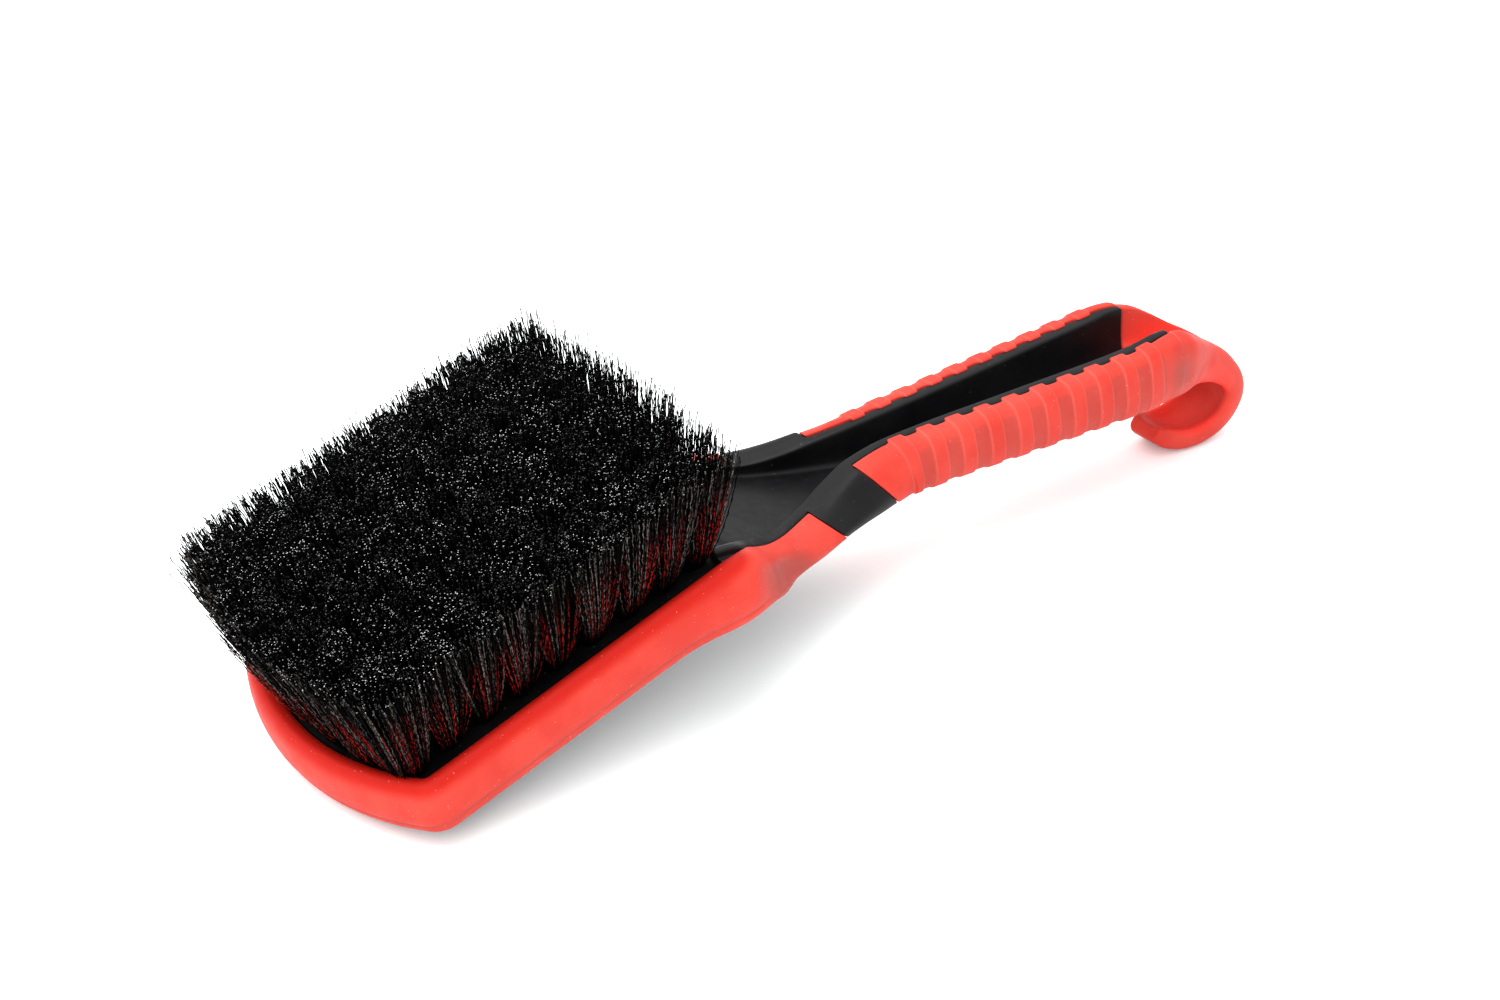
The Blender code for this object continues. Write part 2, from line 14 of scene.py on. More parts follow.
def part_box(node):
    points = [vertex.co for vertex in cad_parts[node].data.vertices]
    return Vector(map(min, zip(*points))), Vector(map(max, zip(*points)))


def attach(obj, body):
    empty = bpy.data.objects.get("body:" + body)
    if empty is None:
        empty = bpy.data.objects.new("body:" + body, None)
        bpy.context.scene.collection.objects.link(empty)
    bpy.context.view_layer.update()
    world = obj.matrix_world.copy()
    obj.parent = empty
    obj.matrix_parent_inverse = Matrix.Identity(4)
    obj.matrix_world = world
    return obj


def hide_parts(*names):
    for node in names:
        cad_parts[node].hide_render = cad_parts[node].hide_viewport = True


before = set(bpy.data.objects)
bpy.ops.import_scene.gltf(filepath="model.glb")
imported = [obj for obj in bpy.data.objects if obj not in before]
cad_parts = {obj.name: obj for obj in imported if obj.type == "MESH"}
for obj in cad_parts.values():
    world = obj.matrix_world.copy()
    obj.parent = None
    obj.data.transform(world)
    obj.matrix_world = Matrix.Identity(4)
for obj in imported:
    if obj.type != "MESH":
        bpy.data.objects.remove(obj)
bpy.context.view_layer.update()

for obj in bpy.context.selected_objects:
    obj.select_set(False)
print("nodes:", ", ".join(sorted(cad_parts)))

# %% [markdown]
# ## Measures and helpers
# All lengths are in millimetres and are turned into metres when a mesh is made.
# The head lies on a slope, so it has its own directions: s along it, y across it, n up from its back.

# %% The slope of the head
MM = 0.001
HEAD_TILT = math.radians(18.1)
HEAD_ORIGIN = np.array([-135.9, 0.0, -0.95])
ALONG = np.array([math.cos(HEAD_TILT), 0.0, math.sin(HEAD_TILT)])
ACROSS = np.array([0.0, 1.0, 0.0])
UPWARD = np.array([-math.sin(HEAD_TILT), 0.0, math.cos(HEAD_TILT)])


def head_place(s, y, n):
    """Millimetre place of a point on the head."""
    return HEAD_ORIGIN + s * ALONG + y * ACROSS + n * UPWARD


block_low, block_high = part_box("bristle_block")
print("block from", [round(v / MM, 1) for v in block_low], "to", [round(v / MM, 1) for v in block_high])

# %% [markdown]
# The neck and the handle change shape slowly along X. Each measure of their section is a short table,
# and a smooth curve through the table gives the value anywhere between. The strip is the bare rim
# of the core beside the channel. The flare draws the neck's sides in toward the rim, and the slant
# leans each section, so that the ends of the rubber are cut at an angle.

# %% Measures along the neck and handle
# Each pair is (x, value). Widths are half widths, from the middle plane.
RIM_HEIGHT = [(-52, 43.6), (-43, 42.6), (-35, 38.2), (-27, 34.4), (-18, 31.9), (-9, 31.4), (0, 32.9),
              (9, 34.9), (22, 36.2), (60, 37.5), (98, 39.0), (106, 39.9), (112, 39.5), (124, 35.6)]
BACK_HEIGHT = [(-52, 27.0), (-43, 28.6), (-32, 27.2), (-18, 25.5), (-5, 24.7), (10, 23.5), (20, 22.8),
               (60, 22.9), (98, 22.8), (112, 22.4), (124, 21.8)]
OUTER_WIDTH = [(-52, 39.3), (-45, 39.8), (-38, 38.0), (-30, 32.2), (-22, 28.0), (-10, 23.4), (0, 19.6),
               (10, 16.4), (20, 14.6), (35, 14.7), (60, 16.0), (98, 17.4), (108, 16.6), (116, 13.6),
               (124, 10.2)]
STRIP_WIDTH = [(-52, 33.0), (-43, 32.6), (-36, 29.2), (-28, 24.8), (-18, 19.0), (-9, 14.6), (0, 11.0),
               (9, 8.4), (20, 7.2), (35, 7.8), (60, 9.3), (98, 11.0), (112, 9.0), (124, 5.0)]
CHANNEL_WIDTH = [(-52, 30.0), (-43, 29.6), (-36, 25.6), (-28, 21.0), (-18, 15.2), (-9, 10.8), (0, 7.2),
                 (9, 5.0), (20, 4.1), (35, 4.4), (60, 5.6), (98, 7.3), (112, 6.8)]
FLOOR_HEIGHT = [(-52, 40.2), (-43, 37.4), (-36, 32.4), (-28, 30.2), (-18, 28.8), (-9, 28.0), (0, 27.6),
                (20, 27.2), (60, 27.0), (98, 26.8), (112, 26.8)]
FLARE = [(-52, 0.0), (-25, 0.3), (-9, 1.8), (0, 2.4), (9, 2.3), (20, 1.1), (35, 0.3), (124, 0.0)]
FLARE_CLEARANCE = 1.2
SLANT = [(-52, 0.33), (-43, 0.33), (-30, 0.55), (-14, 1.1), (0, 1.1), (9, 0.9), (20, 0.35), (28, 0.05),
         (124, 0.0)]
print("overall width of the grip:", 2 * min(w for _, w in OUTER_WIDTH[8:12]), "to",
      2 * max(w for _, w in OUTER_WIDTH[8:12]), "mm")


def smooth_value(points, x):
    """Value at x of a smooth curve through the points, without overshoot between them."""
    if x <= points[0][0]:
        return points[0][1]
    if x >= points[-1][0]:
        return points[-1][1]
    slopes = [(b[1] - a[1]) / (b[0] - a[0]) for a, b in zip(points, points[1:])]
    i = max(k for k in range(len(slopes)) if points[k][0] <= x)

    def tangent(k):
        if k == 0:
            return slopes[0]
        if k == len(slopes):
            return slopes[-1]
        if slopes[k - 1] * slopes[k] <= 0:
            return 0.0
        return 2 * slopes[k - 1] * slopes[k] / (slopes[k - 1] + slopes[k])

    x0, y0 = points[i]
    x1, y1 = points[i + 1]
    h = x1 - x0
    t = (x - x0) / h
    return ((1 + 2 * t) * (1 - t) ** 2 * y0 + t * (1 - t) ** 2 * h * tangent(i)
            + t * t * (3 - 2 * t) * y1 + t * t * (t - 1) * h * tangent(i + 1))


def spread(start, stop, count):
    """Evenly spaced values from start to stop, both included."""
    return [start + (stop - start) * i / (count - 1) for i in range(count)]


def neck_place(x, y, z):
    """Millimetre place on the section at x. Sections of the neck lean with their height."""
    return np.array([x + smooth_value(SLANT, x) * (smooth_value(RIM_HEIGHT, x) - z), y, z])


def flared(half, x, back, rim):
    """The half ring with its outer side pulled in toward the rim, where the neck's sides slope."""
    lean = smooth_value(FLARE, x)
    inside = smooth_value(STRIP_WIDTH, x) + FLARE_CLEARANCE
    return [(y - lean * max(0.0, z - back) / (rim - back) if y > inside else y, z) for y, z in half]


def mirrored(half):
    """Full ring from a half ring that starts and ends on the middle plane, y >= 0."""
    return half + [(-y, z) for y, z in half[-2:0:-1]]


# %% [markdown]
# ## From sections to a soft moulded skin
# A moulded rubber skin has no straight primitive inside it: its section changes all the way along.
# So each skin starts as a cage. Rings of points are laid at stations and bridged with four-sided faces.
# A Subdivision Surface modifier then rounds the cage, as a sculptor rounds a rough block.
# Where an edge should stay crisp, two rings are laid close together. The two end faces are cut into
# triangles, because one face across a hollow section would also cover the hollow.

# %% Cage and finish
def cage(name, rings):
    """Mesh object from rings of equally many points, closed at both ends, faces pointing out."""
    count = len(rings[0])
    points = [tuple(float(c) * MM for c in point) for ring in rings for point in ring]
    faces = []
    for row in range(len(rings) - 1):
        for i in range(count):
            j = (i + 1) % count
            a = row * count
            faces.append((a + i, a + j, a + count + j, a + count + i))
    faces.append(tuple(range(count))[::-1])
    faces.append(tuple((len(rings) - 1) * count + i for i in range(count)))
    mesh = bpy.data.meshes.new(name)
    mesh.from_pydata(points, [], faces)
    obj = bpy.data.objects.new(name, mesh)
    bpy.context.scene.collection.objects.link(obj)
    only(obj)
    bpy.ops.object.mode_set(mode="EDIT")
    bpy.ops.mesh.select_all(action="SELECT")
    bpy.ops.mesh.normals_make_consistent(inside=False)
    bpy.ops.mesh.select_all(action="DESELECT")
    bpy.ops.mesh.select_face_by_sides(number=4, type="GREATER")
    bpy.ops.mesh.quads_convert_to_tris(quad_method="BEAUTY", ngon_method="BEAUTY")
    bpy.ops.object.mode_set(mode="OBJECT")
    return obj


def only(obj):
    """Makes obj the one selected and active object."""
    for other in bpy.context.selected_objects:
        other.select_set(False)
    obj.select_set(True)
    bpy.context.view_layer.objects.active = obj


def rounded(obj, levels):
    """Subdivides the cage, applies the result and shades it smooth."""
    only(obj)
    modifier = obj.modifiers.new("round", "SUBSURF")
    modifier.levels = levels
    modifier.render_levels = levels
    bpy.ops.object.modifier_apply(modifier=modifier.name)
    bpy.ops.object.shade_smooth()
    print(obj.name, "has", len(obj.data.polygons), "faces")
    return obj


def places_of(obj):
    """Vertex places of a mesh, in millimetres, as an array."""
    flat = np.empty(len(obj.data.vertices) * 3)
    obj.data.vertices.foreach_get("co", flat)
    return flat.reshape(-1, 3) / MM


def paint(obj, name, values):
    """Writes one number per vertex, for a material to read."""
    layer = obj.data.attributes.new(name, "FLOAT", "POINT")
    layer.data.foreach_set("value", np.clip(values, 0.0, 1.0).astype(np.float32))


def ramp(value, start, stop):
    """0 before start, 1 after stop, smooth between."""
    t = np.clip((value - start) / (stop - start), 0.0, 1.0)
    return t * t * (3 - 2 * t)


def hill(value, centre, half_width):
    """1 at the centre, falling to 0 at half_width from it."""
    return 1 - ramp(np.abs(value - centre), 0.0, half_width)


# %% [markdown]
# ## The red bumper round the head
# The bumper is a soft wall, so that the brush can knock against a painted wheel.
# Its outer face bulges a little, its crest leans in, and a fine flash line runs near its foot.
# Behind the head it swells into two cheeks, dents in, and tapers along the rails of the neck,
# where its end lies flush on the core. It is made as half a loop of sections and its mirror image.

# %% Bumper
HEAD_HALF_WIDTH = 39.3
HEAD_FRONT_S = 3.2
HEAD_FRONT_RADIUS = 70.0
HEAD_CORNER_RADIUS = 7.4
HEAD_REAR_S = 99.0
TAIL_START_X = -41.0
TAIL_END_X = -9.6
CHEEK_BULGE = 2.9
CHEEK_DROP = 0.7
CHEEK_DENT = 1.7
DENT_X = -33.5
SKIN = 2.4


def head_outline(rear_s):
    """Half outline of the head, front middle to rear corner: (s, y, outward angle)."""
    half = HEAD_HALF_WIDTH
    radius = HEAD_FRONT_RADIUS
    corner = HEAD_CORNER_RADIUS
    swing = math.asin((half - corner) / (radius - corner))
    corner_s = HEAD_FRONT_S + radius - (radius - corner) * math.cos(swing)
    points = [(HEAD_FRONT_S + radius * (1 - math.cos(a)), radius * math.sin(a), math.pi - a)
              for a in spread(0, swing, 9)]
    points += [(corner_s - corner * math.cos(a), half - corner + corner * math.sin(a), math.pi - a)
               for a in spread(swing, math.pi / 2, 6)[1:]]
    points += [(s, half, math.pi / 2) for s in spread(corner_s, rear_s, 17)[1:]]
    return points


# Each pair is (distance in from the outline, height), from the foot over the crest to the inside.
BUMPER_SECTION = [(4.9, -0.3), (3.2, -0.35), (1.6, 0.55), (0.75, 1.9), (0.4, 3.0), (0.62, 3.35),
                  (0.58, 3.7), (0.1, 4.0), (-0.2, 6.2), (-0.1, 8.8), (0.35, 11.0), (1.2, 13.0),
                  (2.8, 14.35), (4.5, 13.7), (5.7, 12.6), (6.0, 11.7), (6.0, 4.4), (3.3, 4.4),
                  (4.6, 2.0)]
BUMPER_CREST = 13


def bumper_on_head(s, y, angle):
    """Ring of the bumper, square to the head's outline. It swells toward the cheeks at the rear."""
    swell = CHEEK_BULGE * float(ramp(s, 80.0, 96.0))
    drop = CHEEK_DROP * float(ramp(s, 86.0, 97.0))
    ring = []
    for i, (inward, n) in enumerate(BUMPER_SECTION):
        share = 1.0 - float(ramp(n, 6.0, 14.5)) if i < BUMPER_CREST else 0.0
        depth = inward - swell * share
        lowered = n - drop * (n < 5.0)
        ring.append(head_place(s - depth * math.cos(angle), y - depth * math.sin(angle), lowered))
    return ring


def bumper_on_tail(x):
    """Ring of the bumper where it lies on the outer side of the neck's rail.

    dent is how far the side sinks in behind the cheek, and close thins the lower edge near the end.
    """
    outer = smooth_value(OUTER_WIDTH, x)
    rim = smooth_value(RIM_HEIGHT, x)
    back = smooth_value(BACK_HEIGHT, x)
    strip = smooth_value(STRIP_WIDTH, x) + 0.15
    core = outer - SKIN
    high = rim - back
    close = float(ramp(x, -22.0, -11.0))
    dent = CHEEK_DENT * math.exp(-((x - DENT_X) / 6.0) ** 2)
    ring = [(outer - 4.2, back - 0.1), (outer - 2.4, back - 0.1),
            (outer - 1.1 - 1.0 * close, back + 0.05 * high),
            (outer - 0.45 - 0.6 * close, back + 0.12 * high),
            (outer - 0.25 - 0.2 * close, back + 0.2 * high),
            (outer - 0.1 - 0.3 * dent, back + 0.26 * high), (outer - 0.5 * dent, back + 0.32 * high),
            (outer - 0.8 * dent, back + 0.38 * high), (outer - dent, back + 0.5 * high),
            (outer - 0.3 - 0.9 * dent, back + 0.64 * high), (outer - 0.7 - 0.5 * dent, back + 0.77 * high),
            (outer - 1.35, back + 0.9 * high), (outer - 2.5, rim - 0.05), (outer - 4.0, rim + 0.25),
            (strip + 0.9, rim + 0.25), (strip, rim - 0.1), (strip, rim - 1.3),
            (min(core - 1.8, strip + 2.0), rim - 1.6), (core - 1.3, back + 0.1 * high)]
    return [neck_place(x, y, z) for y, z in flared(ring, x, back, rim)]


left = [bumper_on_head(*place) for place in head_outline(HEAD_REAR_S)]
left += [bumper_on_tail(x) for x in spread(TAIL_START_X, TAIL_END_X - 0.5, 14) + [TAIL_END_X]]
right = [[point * np.array([1, -1, 1]) for point in ring] for ring in left[:0:-1]]
bumper = rounded(cage("bumper_skin", right + left), 2)
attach(bumper, "root")
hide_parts("head_bumper")

# %% [markdown]
# The rubber is thin in the dent behind each cheek, so the black core darkens it there.
# That darkening is painted on the vertices as a number called thin, which the finish reads.
# In the same way line marks the flash line near the foot, and deep marks painted shade, a darker red high
# on the crest and its inner side.

# %% Thin places and painted shade of the bumper
FLASH_LINE_HEIGHT = 3.45
place = places_of(bumper)
rail_low = np.interp(place[:, 0], *zip(*BACK_HEIGHT))
rail_high = np.interp(place[:, 0], *zip(*RIM_HEIGHT))
side = (place[:, 2] - rail_low) / (rail_high - rail_low)
outer = np.interp(place[:, 0], *zip(*OUTER_WIDTH))
on_side = ramp(np.abs(place[:, 1]) - outer, -5.0, -3.2)
station = place[:, 0] - np.interp(place[:, 0], *zip(*SLANT)) * (rail_high - place[:, 2])
dent = np.exp(-((station + 31.5) / 10.5) ** 4 - ((side - 0.48) / 0.42) ** 4)
behind = ramp(place[:, 0], -45.0, -40.0)
tail = behind * hill(side, 0.45, 0.5) * 0.28
thin = on_side * (behind * dent * 0.66 + tail * 0.3)
paint(bumper, "thin", thin)
head_height = (place - HEAD_ORIGIN) @ UPWARD
on_head = 1 - behind
paint(bumper, "line", on_head * hill(head_height, FLASH_LINE_HEIGHT, 0.6) * 0.8)
# deep is painted shade: a darker red high on the crest and on its inner side.
paint(bumper, "deep", on_head * ramp(head_height, 10.5, 13.2))
print("thinnest look on the bumper:", round(float(thin.max()), 2))

# %% [markdown]
# ## The red grip and its hook
# The grip is one soft skin: it wraps the channel, carries ten raised ribs, closes round the channel's
# end in a scooped pocket, and runs on as a curled hook. One cage covers all of it.
# Each rib is four stations with a close pair at each edge, so its edges stay firm after rounding.

# %% Stations of the grip
RIBS = 10
RIB_FIRST_X = 20.7
RIB_PITCH = 8.5
RIB_WIDTH = 3.9
RIB_HEIGHT = 0.42
RIB_REACH = 1.3
GRIP_START_X = 8.3
CHANNEL_END_X = 109.5
print("ribbed stretch:", round((RIBS - 1) * RIB_PITCH + RIB_WIDTH, 1), "mm")


def rib_stations():
    """Stations along the grip as (x, rib): rib is 1 on a rib and 0 between ribs."""
    stations = [(GRIP_START_X, 0.0), (GRIP_START_X + 0.5, 0.0)]
    stations += [(x, 0.0) for x in spread(GRIP_START_X + 2.5, RIB_FIRST_X - 2.0, 5)]
    for i in range(RIBS):
        left = RIB_FIRST_X + i * RIB_PITCH
        right = left + RIB_WIDTH
        stations += [(left - 0.2, 0.0), (left, 1.0), (left + 0.3, 1.0)]
        stations += [(right - 0.3, 1.0), (right, 1.0), (right + 0.2, 0.0), (right + 2.1, 0.0)]
    return stations + [(104.0, 0.0), (107.0, 0.0), (109.0, 0.0), (CHANNEL_END_X, 0.0)]


def grip_ring(x, rib):
    """Section of the grip at x: round the outside to the rim, then back inside over the core.

    A rib is higher than its neighbours and reaches further over the rim toward the channel.
    """
    lift = rib * RIB_HEIGHT
    outer = smooth_value(OUTER_WIDTH, x) + lift
    rim = smooth_value(RIM_HEIGHT, x)
    back = smooth_value(BACK_HEIGHT, x) - 0.5 * lift
    strip = smooth_value(STRIP_WIDTH, x) + 0.15 - rib * RIB_REACH
    core = smooth_value(OUTER_WIDTH, x) - SKIN
    core_back = smooth_value(BACK_HEIGHT, x) + SKIN
    core_top = rim - 1.3
    high = rim - back
    outside = [(0, back), (outer * 0.45, back), (outer - 4.8, back + 0.1),
               (outer - 2.4, back + 0.04 * high), (outer - 0.9, back + 0.13 * high),
               (outer - 0.15, back + 0.27 * high), (outer, back + 0.42 * high),
               (outer - 0.5, back + 0.62 * high), (outer - 1.1, back + 0.78 * high),
               (outer - 1.8, back + 0.89 * high), (outer - 2.9, rim - 0.55 + 0.6 * lift),
               (outer - 4.3, rim + 0.05 + 0.8 * lift)]
    over_rim = [(strip + 1.0, rim + 0.3 + 0.8 * lift), (strip + 0.25, rim + 0.2 + 0.7 * lift),
                (strip, rim - 0.15), (strip, core_top)]
    inside = [(max(core - 4.6, strip + 0.2), core_top), (core - 1.9, core_top - 0.5),
              (core - 0.7, back + 0.6 * high), (core - 0.1, back + 0.38 * high),
              (core - 1.4, core_back + 0.5), (core - 5.0, core_back), (0, core_back)]
    half = outside + over_rim + inside
    return [neck_place(x, y, z) for y, z in mirrored(flared(half, x, back, rim))]


# %% [markdown]
# The hook follows a curled middle line. At each step along it the section is square to the line,
# rounded outside and dished inside, and the pocket sinks into its upper side where it starts.
# Its measures are tables again, this time along the line, from 0 at its start to 1 at its last point.
# The band stops a little before that, in a narrowed tip.

# %% Hook sections
HOOK_LINE = [(104, 30.6), (114, 29.4), (123, 26.8), (131, 23.0), (137, 18.0), (139, 12.6),
             (136.5, 7.6), (131, 4.5), (124, 3.85), (117, 5.6), (111.5, 9.6), (108.2, 13.8)]
HOOK_START = 0.052
HOOK_END = 0.862
HOOK_WIDTH = [(0.04, 16.4), (0.1, 14.8), (0.15, 12.6), (0.2, 10.8), (0.3, 9.4), (0.45, 8.9), (0.6, 8.5),
              (0.7, 8.0), (0.78, 7.4), (0.83, 6.4), (0.86, 4.8), (1, 3.0)]
HOOK_TOP = [(0.04, 9.4), (0.08, 8.9), (0.118, 7.5), (0.2, 5.3), (0.28, 4.6), (0.36, 3.7), (0.5, 3.6),
            (0.7, 3.5), (0.8, 3.2), (0.84, 2.7), (0.865, 1.6)]
HOOK_BOTTOM = [(0.04, 7.5), (0.118, 6.8), (0.2, 5.6), (0.28, 4.5), (0.36, 3.8), (0.45, 3.4), (0.55, 3.1),
               (0.7, 2.9), (0.8, 2.8), (0.84, 2.4), (0.865, 1.4)]
HOOK_DISH = [(0.04, 0.0), (0.14, 0.2), (0.26, 1.9), (0.4, 2.7), (0.7, 2.4), (0.8, 1.4), (0.865, 0.4)]
POCKET_DEPTH = [(0.04, 11.0), (0.08, 10.6), (0.12, 8.4), (0.16, 5.2), (0.2, 2.4), (0.24, 0.6), (0.26, 0.0)]
POCKET_WIDTH = [(0.04, 8.4), (0.1, 7.0), (0.16, 5.0), (0.22, 3.0), (0.26, 2.2), (0.5, 3.4), (1, 3.0)]
# Each pair is (share of the pocket's half width, share of its depth), from its lip to its floor.
POCKET_WALL = [(1.0, 0.03), (0.97, 0.16), (0.93, 0.36), (0.88, 0.58), (0.8, 0.78), (0.66, 0.92),
               (0.42, 0.985), (0.2, 1.0), (0.0, 1.0)]


def curve_point(t):
    """Point on the hook's middle line at t, 0 to 1, on a rounded curve through its points."""
    span = t * (len(HOOK_LINE) - 1)
    last = len(HOOK_LINE) - 1
    i = min(int(span), last - 1)
    f = span - i
    p = [np.array(HOOK_LINE[max(min(i + k, last), 0)], float) for k in (-1, 0, 1, 2)]
    return 0.5 * (2 * p[1] + (p[2] - p[0]) * f + (2 * p[0] - 5 * p[1] + 4 * p[2] - p[3]) * f * f
                  + (3 * p[1] - p[0] - 3 * p[2] + p[3]) * f ** 3)


def hook_ring(t):
    """Section of the hook at t, square to its middle line. Heights are outward from the line."""
    here = curve_point(t)
    along = curve_point(min(t + 0.005, 1.0)) - curve_point(max(t - 0.005, 0.0))
    along /= np.linalg.norm(along)
    outward = np.array([-along[1], along[0]])
    w = smooth_value(HOOK_WIDTH, t)
    top = smooth_value(HOOK_TOP, t)
    low = smooth_value(HOOK_BOTTOM, t)
    dish = smooth_value(HOOK_DISH, t)
    deep = smooth_value(POCKET_DEPTH, t)
    pocket = smooth_value(POCKET_WIDTH, t)
    crown = 0.5 * (1 - float(ramp(t, 0.12, 0.3)))
    half = [(0, -low + dish), (0.4 * w, -low + 0.85 * dish), (0.64 * w, -low + 0.35 * dish),
            (0.8 * w, -low), (0.92 * w, -0.9 * low), (w, -0.55 * low), (w, -0.1 * low),
            (0.99 * w, 0.25 * top), (0.955 * w, 0.55 * top), (0.9 * w, 0.78 * top),
            (0.8 * w, 0.93 * top), (0.68 * w, 1.0 * top),
            (0.5 * (0.68 * w + pocket), top + 0.3 * crown), (pocket + 0.3, top + 0.1 * crown)]
    half += [(pocket * across, top - deep * down) for across, down in POCKET_WALL]
    points = [(here + outward * n, y) for y, n in mirrored(half)]
    return [np.array([point[0], y, point[1]]) for point, y in points]


rings = [grip_ring(x, rib) for x, rib in rib_stations()]
hook_steps = spread(HOOK_START, 0.3, 16) + spread(0.3, HOOK_END - 0.02, 26)[1:]
hook_steps += [HOOK_END - 0.008, HOOK_END]
rings += [hook_ring(t) for t in hook_steps]
grip = rounded(cage("grip_skin", rings), 2)
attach(grip, "root")
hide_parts("handle_grip")

# %% [markdown]
# Between the ribs the rubber on the sides is thin, and the black core shows through as a duller red.
# The same happens where the sides sink in just before the hook. The rib edges are painted paler, as a
# highlight.
# Inside the curl and in the pocket red light bounces between the walls, so a fuller red is painted there as
# a reflection.

# %% Thin places, painted edge highlights and painted red reflection of the grip
CURL_CENTRE = (125.0, 15.0)
HOOK_ROOT_X = 108.5
place = places_of(grip)
rim_above = np.interp(place[:, 0], *zip(*RIM_HEIGHT)) - place[:, 2]
x = place[:, 0] - np.interp(place[:, 0], *zip(*SLANT)) * rim_above
rail_low = np.interp(x, *zip(*BACK_HEIGHT))
rail_high = np.interp(x, *zip(*RIM_HEIGHT))
side = (place[:, 2] - rail_low) / (rail_high - rail_low)
outer = np.interp(x, *zip(*OUTER_WIDTH))
beyond = np.abs(place[:, 1]) - outer
on_side = ramp(beyond, -3.4, -1.8) * ramp(side, -0.1, 0.2) * (1 - ramp(side, 0.86, 0.97))
phase = (x - RIB_FIRST_X) % RIB_PITCH
in_row = ramp(x, RIB_FIRST_X - 0.8, RIB_FIRST_X + 0.2) * (1 - ramp(x, 101.5, 103.0))
on_rib = ramp(phase, -0.2, 0.35) * (1 - ramp(phase, RIB_WIDTH - 0.1, RIB_WIDTH + 0.45))
between = in_row * (1 - on_rib)
sunken = np.exp(-((x - HOOK_ROOT_X) / 5.5) ** 2 - ((side - 0.5) / 0.33) ** 2) * (x > 100)
sunken = sunken * ramp(beyond, -4.0, -2.0)
paint(grip, "thin", on_side * (between * 0.4 + on_rib * in_row * 0.08) + sunken * 0.7)
# edge is a painted highlight along both edges of each rib.
edge = np.maximum(hill(phase, 0.0, 0.5), hill(phase, RIB_WIDTH, 0.5))
edge = np.maximum(edge, hill(phase, RIB_PITCH, 0.5)) * in_row * (side > -0.2)
paint(grip, "edge", edge)
# inner is a painted red reflection, in the curl's dish and in the pocket.
curl = np.hypot(place[:, 0] - CURL_CENTRE[0], place[:, 2] - CURL_CENTRE[1])
dish = (1 - ramp(curl, 8.5, 11.5)) * ramp(place[:, 0], 109.0, 112.0)
scoop = ramp(place[:, 0], 109.0, 110.5) * (1 - ramp(np.abs(place[:, 1]), 5.0, 8.5))
scoop = scoop * ramp(place[:, 2], 27.0, 29.0) * ramp(rail_high - place[:, 2], 0.5, 5.0)
paint(grip, "inner", np.maximum(dish, scoop))
print("grip with its hook is", round(float(np.ptp(place[:, 0])), 1), "mm long")

# %% [markdown]
# ## The black core
# One stiff moulding runs from under the bristles to the hook. Behind the head it is a shallow tray,
# then two rails close in and become the sides of an open channel. The bare neck shows its full
# section; elsewhere the rubber hides all but the rim and the inside.

# %% Core channel
def core_ring(x, covered):
    """Section of the core at x. Where the rubber covers it, it steps in by the skin's thickness."""
    step = SKIN + 0.3 if covered else 0.0
    outer = smooth_value(OUTER_WIDTH, x) - step
    rim = smooth_value(RIM_HEIGHT, x)
    back = smooth_value(BACK_HEIGHT, x) + (step if x > GRIP_START_X - 1 else 0.0)
    strip = smooth_value(STRIP_WIDTH, x) - 0.1
    inner = smooth_value(CHANNEL_WIDTH, x)
    floor = smooth_value(FLOOR_HEIGHT, x)
    high = rim - back
    top = rim - 1.7 if covered else rim
    depth = rim - floor
    half = [(0, back), (outer * 0.5, back), (outer - 5.0, back + 0.05), (outer - 2.2, back + 0.05 * high),
            (outer - 0.7, back + 0.16 * high), (outer, back + 0.36 * high),
            (outer - 0.45, back + 0.6 * high), (outer - 0.95, back + 0.78 * high),
            (outer - 1.5, top - 0.09 * high), (outer - 2.6, top - 0.1)]
    if covered:
        half += [(max(outer - 3.6, strip + 0.3), top), (strip, top), (strip, rim - 0.35),
                 (strip - 0.3, rim + 0.05)]
    else:
        half += [(outer - 3.9, rim + 0.15), (strip + 0.8, rim + 0.15), (strip + 0.1, rim + 0.12),
                 (strip - 0.6, rim + 0.08)]
    half += [(inner + 0.8, rim + 0.03), (inner + 0.25, rim - 0.25),
             (inner + 0.05, rim - min(1.1, 0.3 * depth)), (inner - 0.25, floor + 0.5 * depth),
             (inner - 0.8, floor + 0.17 * depth), (inner - 2.2, floor + 0.02),
             (inner * 0.4, floor - 0.12), (0, floor - 0.15)]
    return [neck_place(x, y, z) for y, z in mirrored(flared(half, x, back, rim))]


TRAY_FRONT_X = -49.0
stations = [(TRAY_FRONT_X, True), (TRAY_FRONT_X + 0.6, True)]
stations += [(x, True) for x in spread(TRAY_FRONT_X + 2.0, TAIL_END_X - 0.6, 18)]
stations += [(TAIL_END_X - 0.15, True)]
stations += [(TAIL_END_X + 0.1, False), (TAIL_END_X + 0.6, False)]
stations += [(x, False) for x in spread(TAIL_END_X + 2.2, GRIP_START_X - 2.0, 8)]
stations += [(GRIP_START_X - 0.7, False), (GRIP_START_X - 0.15, False), (GRIP_START_X + 0.1, True)]
stations += [(x, True) for x in spread(GRIP_START_X + 1.5, CHANNEL_END_X - 1.2, 34)]
stations += [(CHANNEL_END_X - 0.5, True), (CHANNEL_END_X, True)]
core = rounded(cage("core_channel", [core_ring(x, covered) for x, covered in stations]), 2)
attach(core, "root")
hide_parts("core_frame")

# %% [markdown]
# Under the bristles the core is a plate that the block is bonded to. Its back is flat with soft
# edges. It starts as a flat outline that is filled, extruded and bevelled.

# %% Core plate under the head
PLATE_INSET = 3.5
PLATE_THICK = 4.0
PLATE_REAR_S = 99.5


